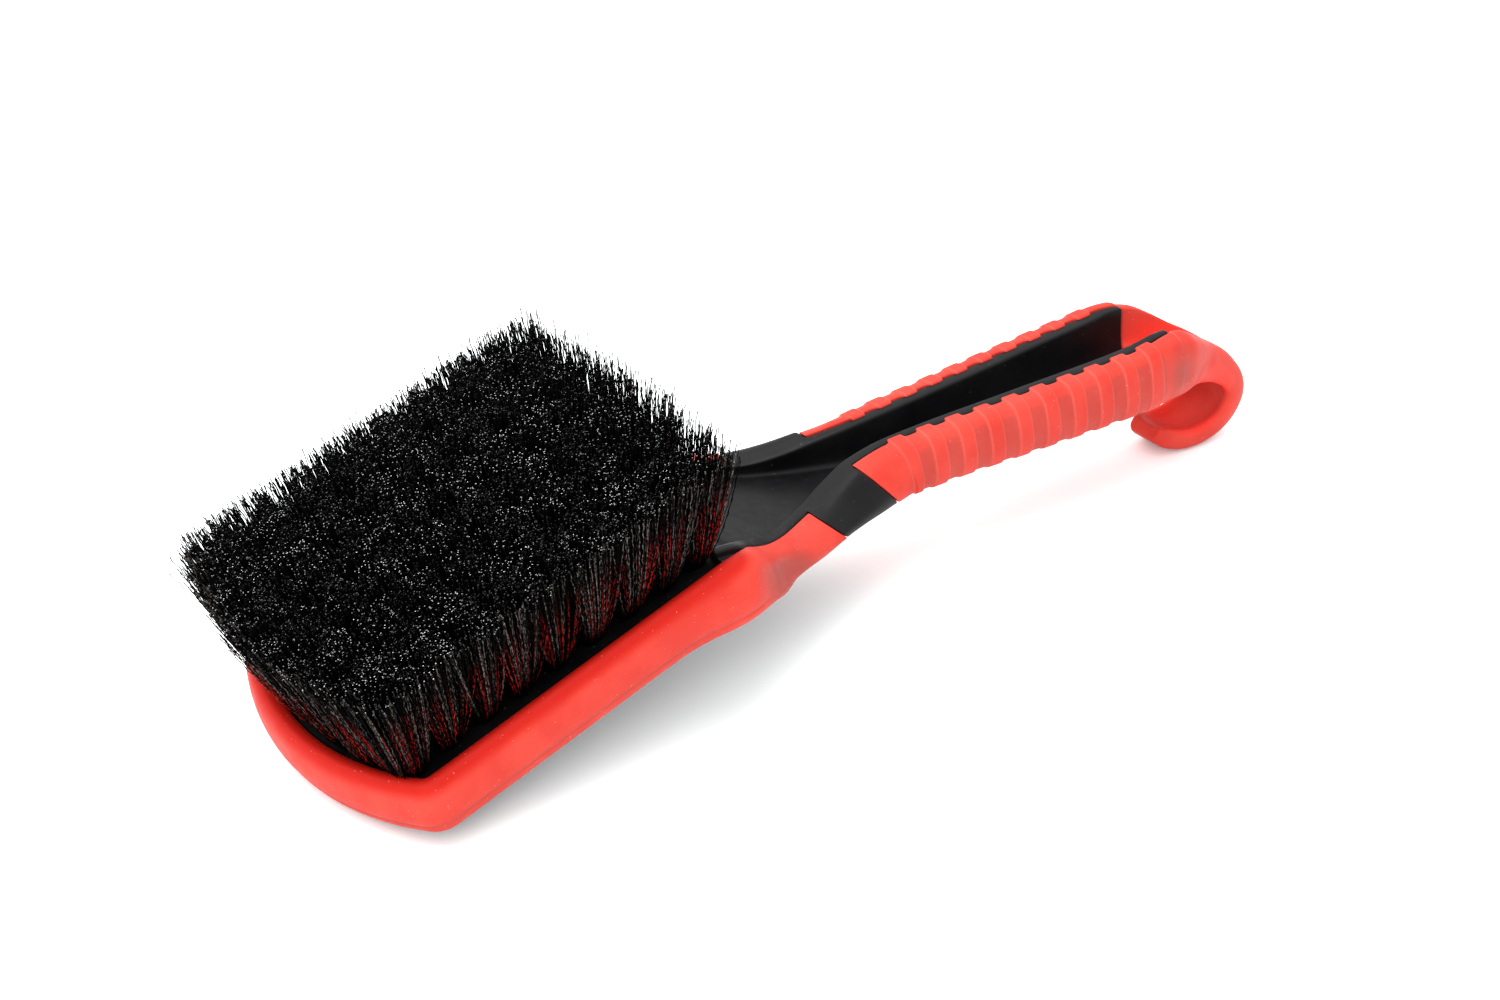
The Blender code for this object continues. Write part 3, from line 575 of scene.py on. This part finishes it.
def inset_outline(inset, rear_s):
    """Closed outline of the head, moved inward by the inset."""
    half_ring = [(s - inset * math.cos(angle), y - inset * math.sin(angle))
                 for s, y, angle in head_outline(rear_s)]
    return half_ring + [(s, -y) for s, y in half_ring[:0:-1]]


def flat_piece(name, outline, bottom, thick, bevel):
    """A plate on the head: outline filled, extruded along the head's own up, edges bevelled."""
    mesh = bpy.data.meshes.new(name)
    points = [tuple(head_place(s, y, bottom) * MM) for s, y in outline]
    mesh.from_pydata(points, [], [tuple(range(len(points)))])
    obj = bpy.data.objects.new(name, mesh)
    bpy.context.scene.collection.objects.link(obj)
    only(obj)
    bpy.ops.object.mode_set(mode="EDIT")
    bpy.ops.mesh.select_all(action="SELECT")
    bpy.ops.mesh.extrude_region_move(TRANSFORM_OT_translate={"value": tuple(UPWARD * thick * MM)})
    bpy.ops.mesh.select_all(action="SELECT")
    bpy.ops.mesh.normals_make_consistent(inside=False)
    bpy.ops.object.mode_set(mode="OBJECT")
    modifier = obj.modifiers.new("edges", "BEVEL")
    modifier.width = bevel * MM
    modifier.segments = 3
    modifier.limit_method = "ANGLE"
    modifier.angle_limit = math.radians(40)
    bpy.ops.object.modifier_apply(modifier=modifier.name)
    bpy.ops.object.shade_smooth_by_angle(angle=math.radians(35))
    print(name, "is", thick, "mm thick")
    return obj


plate = flat_piece("core_plate", inset_outline(PLATE_INSET, PLATE_REAR_S), 0.0, PLATE_THICK, 0.4)
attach(plate, "root")
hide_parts("core_frame")

# %% [markdown]
# A raised ledge of the core closes the gap between the block and the tray. Its rear edge is bowed.

# %% Ledge behind the bristles
LEDGE_HALF_WIDTH = 32.8
LEDGE_FRONT_S = 92.0
LEDGE_REAR_S = 95.0
LEDGE_BOW = 7.5
LEDGE_BOTTOM = 3.9
LEDGE_THICK = 7.0
ledge_rear = [(LEDGE_REAR_S + LEDGE_BOW * (y / 31.0) ** 2, y)
              for y in spread(-LEDGE_HALF_WIDTH, LEDGE_HALF_WIDTH, 25)]
ledge_outline = ledge_rear + [(LEDGE_FRONT_S, LEDGE_HALF_WIDTH), (LEDGE_FRONT_S, -LEDGE_HALF_WIDTH)]
ledge = flat_piece("core_ledge", ledge_outline, LEDGE_BOTTOM, LEDGE_THICK, 0.35)
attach(ledge, "root")
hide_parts("core_frame")

# %% [markdown]
# ## The bristles
# Each tuft is a bundle of crimped filaments folded into one hole of the block. They leave the hole
# tight together, fan out, and are cut off in one flat face, so the head looks solid from above.
# Every filament is a three-sided tube with a wave in it. They are computed as arrays, a tuft at a
# time, because more than ten thousand of them could not be placed by hand. Those on the outside of
# the head get many short segments, and the hidden ones inside only a few.

# %% Where the tufts stand
BLOCK_TOP = 11.4
TUFT_TOP = 40.0
TUFT_ROWS = 9
TUFTS_PER_ROW = 7
TUFT_FIRST_S = 14.6
TUFT_LAST_S = 93.0
TUFT_HALF_SPREAD = 27.6
TUFT_ROW_BOW = 3.4
HOLE_RADIUS = 2.3
FRONT_ROW_EXTRA = 1.2
TOP_FRONT_S = 4.4
TOP_REAR_S = 109.4
TOP_HALF_WIDTH = 41.4
TOP_BOW = 8.4
REAR_BOW = 3.6
TOP_SHIFT = 2.2


def tuft_base(u, v):
    """Middle of a tuft's hole. u counts the rows, and v goes from -1 to 1 across a row."""
    share = u / (TUFT_ROWS - 1)
    bow = TUFT_ROW_BOW * v * v * (1 - share)
    return TUFT_FIRST_S + (TUFT_LAST_S - TUFT_FIRST_S) * share + bow, TUFT_HALF_SPREAD * v


def tuft_tip(u, v):
    """Where the tuft's middle reaches the cut face, which is wider and longer than the block."""
    share = (u + 0.5) / TUFT_ROWS
    across = v * (TUFTS_PER_ROW - 1) / TUFTS_PER_ROW
    bow = across * across * (TOP_BOW * (1 - share) - REAR_BOW * share)
    return TOP_FRONT_S + (TOP_REAR_S - TOP_FRONT_S) * share + bow, TOP_HALF_WIDTH * across + TOP_SHIFT


print("tufts:", TUFT_ROWS * TUFTS_PER_ROW)


# %% [markdown]
# A tuft's filaments start in a round hole and end in a square cell, where the tufts meet. So each has
# a place in the disc of the hole, and the same place stretched outward fills the square.

# %% Which filaments a tuft has
FACING_LIMIT = 0.35


def at_side(v):
    """True for the two tufts at the ends of a row."""
    return abs(v) > 0.99


def filament_grid(rng, u, v, count, shell):
    """Places of a tuft's filaments in its round hole and in the square cell above it, -1 to 1.

    facing says how far a filament stands toward the outside of the head, 1 at its edge. shell says
    which ones to keep: "outside" ones face out of the head, "inside" are the rest.
    """
    angle = rng.uniform(0, 2 * math.pi, count)
    radius = np.sqrt(rng.uniform(0, 1, count))
    hole_s = np.cos(angle) * radius
    hole_y = np.sin(angle) * radius
    stretch = 1 / np.maximum(np.abs(np.cos(angle)), np.abs(np.sin(angle)))
    cell_s = hole_s * stretch
    cell_y = hole_y * stretch
    nowhere = np.zeros(count)
    to_front = -cell_s if u == 0 else nowhere
    to_rear = cell_s if u == TUFT_ROWS - 1 else nowhere
    to_side = cell_y * np.sign(v) if at_side(v) else nowhere
    facing = np.maximum.reduce([to_front, to_rear, to_side])
    kept = facing > FACING_LIMIT if shell == "outside" else facing <= FACING_LIMIT
    return [values[kept] for values in (hole_s, hole_y, cell_s, cell_y, facing)]


# %% [markdown]
# The cut face is flat, but not perfect. Neighbouring tufts mix where they meet, so each one spreads
# past its own cell, except at the head's edge. Ends vary a little, and more at the edges, where some
# filaments stand astray.

# %% Where the filaments end
FAN_OVERLAP = 1.5
EDGE_OVERLAP = 1.04


def filament_tips(rng, u, v, cell_s, cell_y, facing):
    """Ends of the filaments, spread over the cell of their tuft."""
    count = len(facing)
    front_or_rear = (cell_s < 0) & (u == 0) | (cell_s > 0) & (u == TUFT_ROWS - 1)
    outer_side = at_side(v) & (cell_y * np.sign(v) > 0)
    cell_s = cell_s * np.where(front_or_rear, EDGE_OVERLAP, FAN_OVERLAP)
    cell_y = cell_y * np.where(outer_side, EDGE_OVERLAP, FAN_OVERLAP)
    tip_s, tip_y = tuft_tip(u + 0.5 * cell_s, v + cell_y / (TUFTS_PER_ROW - 1))
    at_rear = u == TUFT_ROWS - 1
    on_edge = u in (0, TUFT_ROWS - 1) or at_side(v)
    loose = 0.5 + 0.35 * on_edge + 0.3 * at_rear
    uneven = 0.28 + 0.5 * at_rear
    tip_s = tip_s + rng.normal(0, loose, count)
    tip_y = tip_y + rng.normal(0, loose, count)
    tip_n = TUFT_TOP - 0.5 * np.clip(facing, 0, 1) ** 4 - np.abs(rng.normal(0, uneven, count))
    stray = rng.uniform(0, 1, count) < 0.02 + 0.07 * on_edge
    tip_n = tip_n + stray * rng.uniform(-1.0, 1.9, count)
    tip_s = tip_s + stray * rng.normal(0, 1.2, count)
    tip_y = tip_y + stray * rng.normal(0, 1.2, count)
    return tip_s, tip_y, tip_n


# %% [markdown]
# A filament starts in its hole and leans out steadily toward its end. The crimp is a small wave with
# its own direction and start on each filament, and a slow drift keeps neighbours from being parallel.

# %% The way of each filament
ROOT_DEPTH = 3.0
FAN_CURVE = 0.74
CRIMP_SIZES = (0.1, 0.2)
DRIFT = 0.45


def filament_paths(rng, u, v, hole_s, hole_y, tips, segments, wave_length):
    """Places s, y, n along the filaments, and how far along each is free of the block, 0 to 1."""
    tip_s, tip_y, tip_n = tips
    count = len(tip_n)
    h = np.linspace(0, 1, segments + 1)[None, :]
    n = (BLOCK_TOP - ROOT_DEPTH) + (tip_n[:, None] - BLOCK_TOP + ROOT_DEPTH) * h
    free = np.clip((n - BLOCK_TOP) / (TUFT_TOP - BLOCK_TOP), 0, 1.1)
    lean = free ** FAN_CURVE
    base_s, base_y = tuft_base(u, v)
    hole = HOLE_RADIUS + FRONT_ROW_EXTRA * (u == 0)
    s = (base_s + hole * hole_s)[:, None] * (1 - lean) + tip_s[:, None] * lean
    y = (base_y + hole * hole_y)[:, None] * (1 - lean) + tip_y[:, None] * lean
    turn = rng.uniform(0, 2 * math.pi, count)[:, None]
    start = rng.uniform(0, 2 * math.pi, count)[:, None]
    size = rng.uniform(*CRIMP_SIZES, count)[:, None] * ramp(free, 0.02, 0.15)
    wave = size * np.sin(2 * math.pi * n / wave_length + start)
    drift = rng.normal(0, DRIFT, count)[:, None] * np.sin(math.pi * 0.9 * free)
    drift_turn = rng.uniform(0, 2 * math.pi, count)[:, None]
    s = s + wave * np.cos(turn) + drift * np.cos(drift_turn)
    y = y + wave * np.sin(turn) + drift * np.sin(drift_turn)
    return s, y, n, free


# %% [markdown]
# Three sides are enough for a filament a quarter of a millimetre thick. The blade that cuts the face
# swells the end a little, so the cut end is made wider. Three numbers on the vertices guide the finish,
# all painted light: the first is a red reflection near the root, lit is a pale side where light falls, and
# spark is a highlight on the cut end.

# %% Tubes and their shading numbers
FILAMENT_RADIUS = 0.125
TIP_SWELL = 1.3
RED_REFLECTION_BELOW = 0.3
LIT_ABOVE = 0.66
SPARK_BELOW = 0.36


def filament_tubes(rng, s, y, n):
    """Three-sided tubes round the paths: (count, levels, 3 sides, 3)."""
    count, levels = s.shape
    spin = rng.uniform(0, 2 * math.pi, count)[:, None, None] + np.arange(3)[None, None, :] * 2 * math.pi / 3
    thick = FILAMENT_RADIUS * rng.uniform(0.85, 1.1, count)[:, None, None] * np.ones((1, levels, 1))
    thick[:, -1] *= TIP_SWELL
    vs = s[:, :, None] + thick * np.cos(spin)
    vy = y[:, :, None] + thick * np.sin(spin)
    vn = np.broadcast_to(n[:, :, None], vs.shape)
    return HEAD_ORIGIN + vs[..., None] * ALONG + vy[..., None] * ACROSS + vn[..., None] * UPWARD


def filament_shades(rng, facing, free):
    """Painted light for every vertex of the tubes: a red reflection near the root, a pale lit side and a
    cut-end highlight.
    """
    count = len(facing)
    outer = ramp(facing, 0.3, 0.7)[:, None]
    chance = rng.uniform(0.0, 1.0, count)[:, None]
    level = rng.uniform(0.35, 1.0, count)[:, None]
    low_part = ramp(free, 0.04, 0.2) * (1 - ramp(free, 0.45, 0.85))
    red_reflection = outer * (chance < RED_REFLECTION_BELOW) * level * low_part
    lit = outer * (chance > LIT_ABOVE) * level * ramp(free, 0.1, 0.4)
    bright = rng.uniform(0.0, 1.0, count) < SPARK_BELOW
    spark = (bright * rng.uniform(0.25, 1.0, count))[:, None]
    shape = (*free.shape, 3)
    return [np.broadcast_to((number + 0 * free)[:, :, None], shape) for number in (red_reflection, lit, spark)]


def tuft(rng, u, v, count, segments, wave_length, shell):
    """Vertex places and shading numbers of one tuft."""
    hole_s, hole_y, cell_s, cell_y, facing = filament_grid(rng, u, v, count, shell)
    tips = filament_tips(rng, u, v, cell_s, cell_y, facing)
    s, y, n, free = filament_paths(rng, u, v, hole_s, hole_y, tips, segments, wave_length)
    place = filament_tubes(rng, s, y, n)
    return place, filament_shades(rng, facing, free)


# %% [markdown]
# All the tubes of a row go into one mesh. The sides and the cut ends get different finishes.

# %% One mesh for a row
def bristle_mesh(name, tufts):
    """One mesh from several tufts, with closed ends on every filament."""
    coords, quads, ends, shades = [], [], [], []
    offset = 0
    for place, shade in tufts:
        count, levels = place.shape[:2]
        index = offset + np.arange(count * levels * 3).reshape(count, levels, 3)
        following = np.roll(index, -1, axis=2)
        corners = [index[:, :-1], following[:, :-1], following[:, 1:], index[:, 1:]]
        quads.append(np.stack(corners, -1).reshape(-1, 4))
        ends.append(index[:, -1, :])
        ends.append(index[:, 0, ::-1])
        coords.append(place.reshape(-1, 3))
        shades.append([part.reshape(-1) for part in shade])
        offset += count * levels * 3
    coords = np.concatenate(coords) * MM
    quads = np.concatenate(quads)
    ends = np.concatenate(ends)
    mesh = bpy.data.meshes.new(name)
    mesh.vertices.add(len(coords))
    mesh.vertices.foreach_set("co", coords.ravel())
    loops = np.concatenate([quads.ravel(), ends.ravel()]).astype(np.int32)
    mesh.loops.add(len(loops))
    mesh.loops.foreach_set("vertex_index", loops)
    starts = np.concatenate([np.arange(len(quads)) * 4, len(quads) * 4 + np.arange(len(ends)) * 3])
    mesh.polygons.add(len(starts))
    mesh.polygons.foreach_set("loop_start", starts.astype(np.int32))
    smooth = np.ones(len(starts), dtype=bool)
    smooth[len(quads):] = False
    slots = np.zeros(len(starts), dtype=np.int32)
    slots[len(quads):] = 1
    mesh.polygons.foreach_set("material_index", slots)
    mesh.polygons.foreach_set("use_smooth", smooth)
    mesh.update(calc_edges=True)
    obj = bpy.data.objects.new(name, mesh)
    bpy.context.scene.collection.objects.link(obj)
    for number, parts in zip(("red_reflection", "lit", "spark"), zip(*shades)):
        paint(obj, number, np.concatenate(parts))
    return obj


# %% [markdown]
# Each row has its own seed, so it comes out the same on every run. The rear row is thinner, and lets
# the tray behind it show through.

# %% Nine rows of tufts
FIRST_SEED = 100
REAR_COUNT = 200
EDGE_COUNT = 300
MIDDLE_COUNT = 250
INSIDE_SEGMENTS, INSIDE_WAVE = 7, 8.0
OUTSIDE_SEGMENTS, OUTSIDE_WAVE = 30, 3.6
bristle_rows = []
for row in range(TUFT_ROWS):
    rng = np.random.default_rng(FIRST_SEED + row)
    tufts = []
    for j in range(TUFTS_PER_ROW):
        v = -1 + 2 * j / (TUFTS_PER_ROW - 1)
        on_edge = row in (0, TUFT_ROWS - 1) or at_side(v)
        count = EDGE_COUNT if on_edge else MIDDLE_COUNT
        if row == TUFT_ROWS - 1:
            count = REAR_COUNT
        tufts.append(tuft(rng, row, v, count, INSIDE_SEGMENTS, INSIDE_WAVE, "inside"))
        if on_edge:
            tufts.append(tuft(rng, row, v, count, OUTSIDE_SEGMENTS, OUTSIDE_WAVE, "outside"))
    piece = bristle_mesh("bristles_%d" % (row + 1), tufts)
    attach(piece, "root")
    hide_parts("tuft_row_%d" % (row + 1))
    bristle_rows.append(piece)
print("filament faces:", sum(len(p.data.polygons) for p in bristle_rows))

# %% [markdown]
# ## Finishes
# Each finish is a Principled shader with noise behind its colour, its roughness and its bump.
# Textures use Object coordinates in metres, so a scale of 1000 gives grains about a millimetre wide.

# %% Helpers for finishes
def new_finish(name):
    """A new material, its node tree and its Principled shader."""
    material = bpy.data.materials.new(name)
    material.use_nodes = True
    return material, material.node_tree, material.node_tree.nodes["Principled BSDF"]


def noise(tree, scale, detail=3.0, roughness=0.5):
    """Noise on Object coordinates."""
    coords = tree.nodes.new("ShaderNodeTexCoord")
    texture = tree.nodes.new("ShaderNodeTexNoise")
    texture.inputs["Scale"].default_value = scale
    texture.inputs["Detail"].default_value = detail
    texture.inputs["Roughness"].default_value = roughness
    tree.links.new(coords.outputs["Object"], texture.inputs["Vector"])
    return texture.outputs["Fac"]


def remap(tree, value, low, high, to_low, to_high):
    """The value stretched from low..high to to_low..to_high, and clamped there."""
    node = tree.nodes.new("ShaderNodeMapRange")
    for name, number in (("From Min", low), ("From Max", high), ("To Min", to_low), ("To Max", to_high)):
        node.inputs[name].default_value = number
    tree.links.new(value, node.inputs["Value"])
    return node.outputs["Result"]


def mixed(tree, factor, first, second):
    """Colour between first and second. Each may be a colour or an output."""
    node = tree.nodes.new("ShaderNodeMix")
    node.data_type = "RGBA"
    tree.links.new(factor, node.inputs["Factor"])
    for key, value in (("A", first), ("B", second)):
        socket = [s for s in node.inputs if s.name == key and s.type == "RGBA"][0]
        if isinstance(value, tuple):
            socket.default_value = (*value, 1.0)
        else:
            tree.links.new(value, socket)
    return [s for s in node.outputs if s.type == "RGBA"][0]


def painted(tree, name):
    """A number that was painted on the vertices."""
    node = tree.nodes.new("ShaderNodeAttribute")
    node.attribute_name = name
    return node.outputs["Fac"]


def roughen(tree, shader, grain, low, high):
    """Roughness that wanders between low and high with the grain."""
    tree.links.new(remap(tree, grain, 0.3, 0.7, low, high), shader.inputs["Roughness"])


def bump(tree, shader, height, strength, distance):
    """Fine relief on the surface. The distance is in metres."""
    node = tree.nodes.new("ShaderNodeBump")
    node.inputs["Strength"].default_value = strength
    node.inputs["Distance"].default_value = distance
    tree.links.new(height, node.inputs["Height"])
    tree.links.new(node.outputs["Normal"], shader.inputs["Normal"])


# %% [markdown]
# ### Red rubber
# The overmould is a soft, slightly chalky red. It is patchy at the size of a fingertip, duller where it is
# thin, and has fine dust on it. Painted shade deepens the crest, a painted red reflection fills the curl,
# and a painted highlight pales the rib edges.

# %% Rubber finish
RED_DARKER, RED_LIGHTER = (0.46, 0.030, 0.020), (0.52, 0.043, 0.029)
RED_CREST_SHADE, RED_REFLECTED = (0.42, 0.010, 0.005), (0.62, 0.034, 0.022)
RED_THIN, RED_EDGE_HIGHLIGHT = (0.21, 0.044, 0.036), (0.66, 0.13, 0.10)
RED_LINE, RED_DUST = (0.28, 0.07, 0.055), (0.80, 0.30, 0.22)
rubber, tree, shader = new_finish("red_rubber_finish")
patches = remap(tree, noise(tree, 90.0, 3.0), 0.35, 0.65, 0.0, 1.0)
colour = mixed(tree, patches, RED_DARKER, RED_LIGHTER)
# deep, inner and edge add painted light: shade on the crest, a red reflection in the curl and highlights on
# the rib edges.
colour = mixed(tree, painted(tree, "deep"), colour, RED_CREST_SHADE)
colour = mixed(tree, painted(tree, "inner"), colour, RED_REFLECTED)
colour = mixed(tree, painted(tree, "thin"), colour, RED_THIN)
colour = mixed(tree, remap(tree, painted(tree, "edge"), 0.0, 1.0, 0.0, 0.22), colour, RED_EDGE_HIGHLIGHT)
colour = mixed(tree, remap(tree, painted(tree, "line"), 0.0, 1.0, 0.0, 0.6), colour, RED_LINE)
dust = remap(tree, noise(tree, 1900.0, 1.0), 0.735, 0.79, 0.0, 0.5)
colour = mixed(tree, dust, colour, RED_DUST)
tree.links.new(colour, shader.inputs["Base Color"])
roughen(tree, shader, noise(tree, 260.0, 4.0), 0.44, 0.58)
shader.inputs["Specular IOR Level"].default_value = 0.10
bump(tree, shader, noise(tree, 2600.0, 3.0), 0.22, 0.00006)
for piece in (bumper, grip):
    piece.data.materials.append(rubber)
print(rubber.name, "has", len(tree.nodes), "nodes")

# %% [markdown]
# ### Black plastic
# The core is a satin polypropylene with a very fine spark texture, so its highlights are broad and soft.

# %% Plastic finish
plastic, tree, shader = new_finish("black_plastic_finish")
shade = remap(tree, noise(tree, 70.0, 3.0), 0.35, 0.65, 0.0, 1.0)
colour = mixed(tree, shade, (0.0025, 0.0025, 0.003), (0.005, 0.005, 0.0055))
dust = remap(tree, noise(tree, 1500.0, 1.0), 0.76, 0.80, 0.0, 0.5)
colour = mixed(tree, dust, colour, (0.12, 0.12, 0.12))
tree.links.new(colour, shader.inputs["Base Color"])
roughen(tree, shader, noise(tree, 400.0, 4.0), 0.30, 0.42)
shader.inputs["Specular IOR Level"].default_value = 0.12
bump(tree, shader, noise(tree, 2200.0, 2.0), 0.35, 0.00006)
for piece in (core, plate, ledge):
    piece.data.materials.append(plastic)
print(plastic.name, "has", len(tree.nodes), "nodes")

# %% [markdown]
# The block sits in the shade of its own bristles, and that shade is painted into its colour, darker than
# the core's. It is the same plastic, rougher and with lint on it.

# %% Block finish
block_plastic, tree, shader = new_finish("block_plastic_finish")
lint = remap(tree, noise(tree, 1100.0, 2.0), 0.70, 0.76, 0.0, 0.5)
shade = remap(tree, noise(tree, 120.0, 3.0), 0.35, 0.65, 0.0, 1.0)
# Painted shade: a darker black than the core, for the shade under the bristles.
colour = mixed(tree, shade, (0.001, 0.001, 0.001), (0.003, 0.003, 0.003))
tree.links.new(mixed(tree, lint, colour, (0.10, 0.10, 0.09)), shader.inputs["Base Color"])
roughen(tree, shader, noise(tree, 300.0, 3.0), 0.45, 0.7)
shader.inputs["Specular IOR Level"].default_value = 0.08
bump(tree, shader, noise(tree, 1500.0, 3.0), 0.4, 0.0001)
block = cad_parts["bristle_block"]
block.data.materials.clear()
block.data.materials.append(block_plastic)
print(block_plastic.name, "has", len(tree.nodes), "nodes")

# %% [markdown]
# ### Bristle
# The filaments are black nylon. Some at the head's edges get a painted red reflection of the bumper near
# their roots, and some a painted pale side where they catch the light. Noise breaks both colours into short
# dashes, as light on the crimp does.

# %% Bristle finish
nylon, tree, shader = new_finish("bristle_finish")
tone = remap(tree, noise(tree, 500.0, 2.0), 0.3, 0.7, 0.0, 1.0)
colour = mixed(tree, tone, (0.0004, 0.0004, 0.0004), (0.0014, 0.0014, 0.0014))
dashes = remap(tree, noise(tree, 1300.0, 1.0), 0.44, 0.6, 0.0, 1.0)
lit_colour = mixed(tree, dashes, (0.012, 0.010, 0.009), (0.13, 0.11, 0.098))
dashes = remap(tree, noise(tree, 1200.0, 1.0), 0.44, 0.6, 0.0, 1.0)
red_reflection_colour = mixed(tree, dashes, (0.020, 0.001, 0.001), (0.34, 0.012, 0.010))
# These two mixes paint light: a pale lit side and a red reflection near the roots.
colour = mixed(tree, painted(tree, "lit"), colour, lit_colour)
colour = mixed(tree, painted(tree, "red_reflection"), colour, red_reflection_colour)
tree.links.new(colour, shader.inputs["Base Color"])
roughen(tree, shader, noise(tree, 900.0, 2.0), 0.5, 0.65)
shader.inputs["Specular IOR Level"].default_value = 0.01
for piece in bristle_rows:
    piece.data.materials.append(nylon)
print(nylon.name, "has", len(tree.nodes), "nodes")

# %% [markdown]
# The cut ends are flat and polished by the blade. About a third of them carry a painted highlight, a small
# grey dot, brighter in patches.

# %% Cut ends
cut_end, tree, shader = new_finish("bristle_cut_finish")
# spark and patch paint the highlights on the cut ends.
patch = remap(tree, noise(tree, 150.0, 1.0), 0.42, 0.6, 0.1, 1.0)
bright = mixed(tree, patch, (0.04, 0.04, 0.04), (0.58, 0.59, 0.61))
colour = mixed(tree, painted(tree, "spark"), (0.0008, 0.0008, 0.0008), bright)
tree.links.new(colour, shader.inputs["Base Color"])
roughen(tree, shader, noise(tree, 700.0, 1.0), 0.35, 0.6)
shader.inputs["Specular IOR Level"].default_value = 0.1
for piece in bristle_rows:
    piece.data.materials.append(cut_end)
print(cut_end.name, "has", len(tree.nodes), "nodes")

# %% [markdown]
# ## Floor, light and camera
# The brush lies on a large sheet of white paper. The paper glows faintly, so that it stays white
# where the brush throws red light on it.

# %% Floor
FLOOR_SIZE = 8.0
scene = bpy.context.scene
bpy.ops.mesh.primitive_plane_add(size=FLOOR_SIZE, location=(0, 0, 0))
floor = bpy.context.object
floor.name = "floor"
paper, tree, shader = new_finish("paper")
shader.inputs["Base Color"].default_value = (0.88, 0.93, 0.93, 1.0)
shader.inputs["Emission Color"].default_value = (1.0, 1.0, 1.0, 1.0)
shader.inputs["Emission Strength"].default_value = 0.1
shader.inputs["Roughness"].default_value = 0.9
shader.inputs["Specular IOR Level"].default_value = 0.1
floor.data.materials.append(paper)
print("floor is", FLOOR_SIZE, "m wide")

# %% [markdown]
# A wide softbox above, a smaller one in front and a bright surround give faint, wide shadows. The
# surround is dimmer toward the horizon, so that the sides of the brush are darker than its top.

# %% Light
SURROUND_LOW, SURROUND_HIGH = (0.42, 0.42, 0.43), (1.0, 1.0, 1.0)
SURROUND_STRENGTH = 1.55
world = bpy.data.worlds.new("studio")
scene.world = world
world.use_nodes = True
sky = world.node_tree
coords = sky.nodes.new("ShaderNodeTexCoord")
split = sky.nodes.new("ShaderNodeSeparateXYZ")
sky.links.new(coords.outputs["Generated"], split.inputs["Vector"])
glowing = remap(sky, split.outputs["Z"], 0.0, 0.8, 0.0, 1.0)
surround = sky.nodes["Background"]
sky.links.new(mixed(sky, glowing, SURROUND_LOW, SURROUND_HIGH), surround.inputs["Color"])
surround.inputs["Strength"].default_value = SURROUND_STRENGTH
scene.view_settings.view_transform = "Standard"


def softbox(name, place, aim, size, power):
    """A square area light, turned toward the point it aims at."""
    light = bpy.data.lights.new(name, "AREA")
    light.shape = "SQUARE"
    light.size = size
    light.energy = power
    obj = bpy.data.objects.new(name, light)
    scene.collection.objects.link(obj)
    obj.location = place
    obj.rotation_euler = (Vector(aim) - Vector(place)).to_track_quat("-Z", "Y").to_euler()
    print(name, "light of", power, "W")
    return obj


softbox("overhead", (-0.25, 0.25, 1.1), (0, 0, 0), 1.5, 24.0)
softbox("front", (-1.0, -0.8, 0.8), (0, 0, 0.02), 0.8, 10.0)

# %% [markdown]
# The camera looks down along the brush from beyond its front corner, with a longish lens. It is
# placed by three angles: how far it turns from the Y axis, how far it looks down, and a slight roll.

# %% Camera
CAMERA_PLACE = (-0.3418, -0.4237, 0.3373)
CAMERA_LENS = 64.63
VIEW_TURN = math.radians(37.68)
VIEW_DROP = math.radians(29.91)
VIEW_ROLL = math.radians(0.68)
camera = bpy.data.objects.new("camera", bpy.data.cameras.new("camera"))
scene.collection.objects.link(camera)
camera.data.sensor_width = 36.0
camera.data.lens = CAMERA_LENS
camera.data.clip_start = 0.01
level = Vector((math.sin(VIEW_TURN), math.cos(VIEW_TURN), 0.0))
right = Vector((math.cos(VIEW_TURN), -math.sin(VIEW_TURN), 0.0))
back = -(level * math.cos(VIEW_DROP) - Vector((0, 0, 1)) * math.sin(VIEW_DROP))
above = back.cross(right)
turn = Matrix((right, above, back)).transposed().to_4x4() @ Matrix.Rotation(VIEW_ROLL, 4, "Z")
camera.matrix_world = Matrix.Translation(CAMERA_PLACE) @ turn
scene.camera = camera
print("camera is", round(Vector(CAMERA_PLACE).length, 3), "m from the middle")
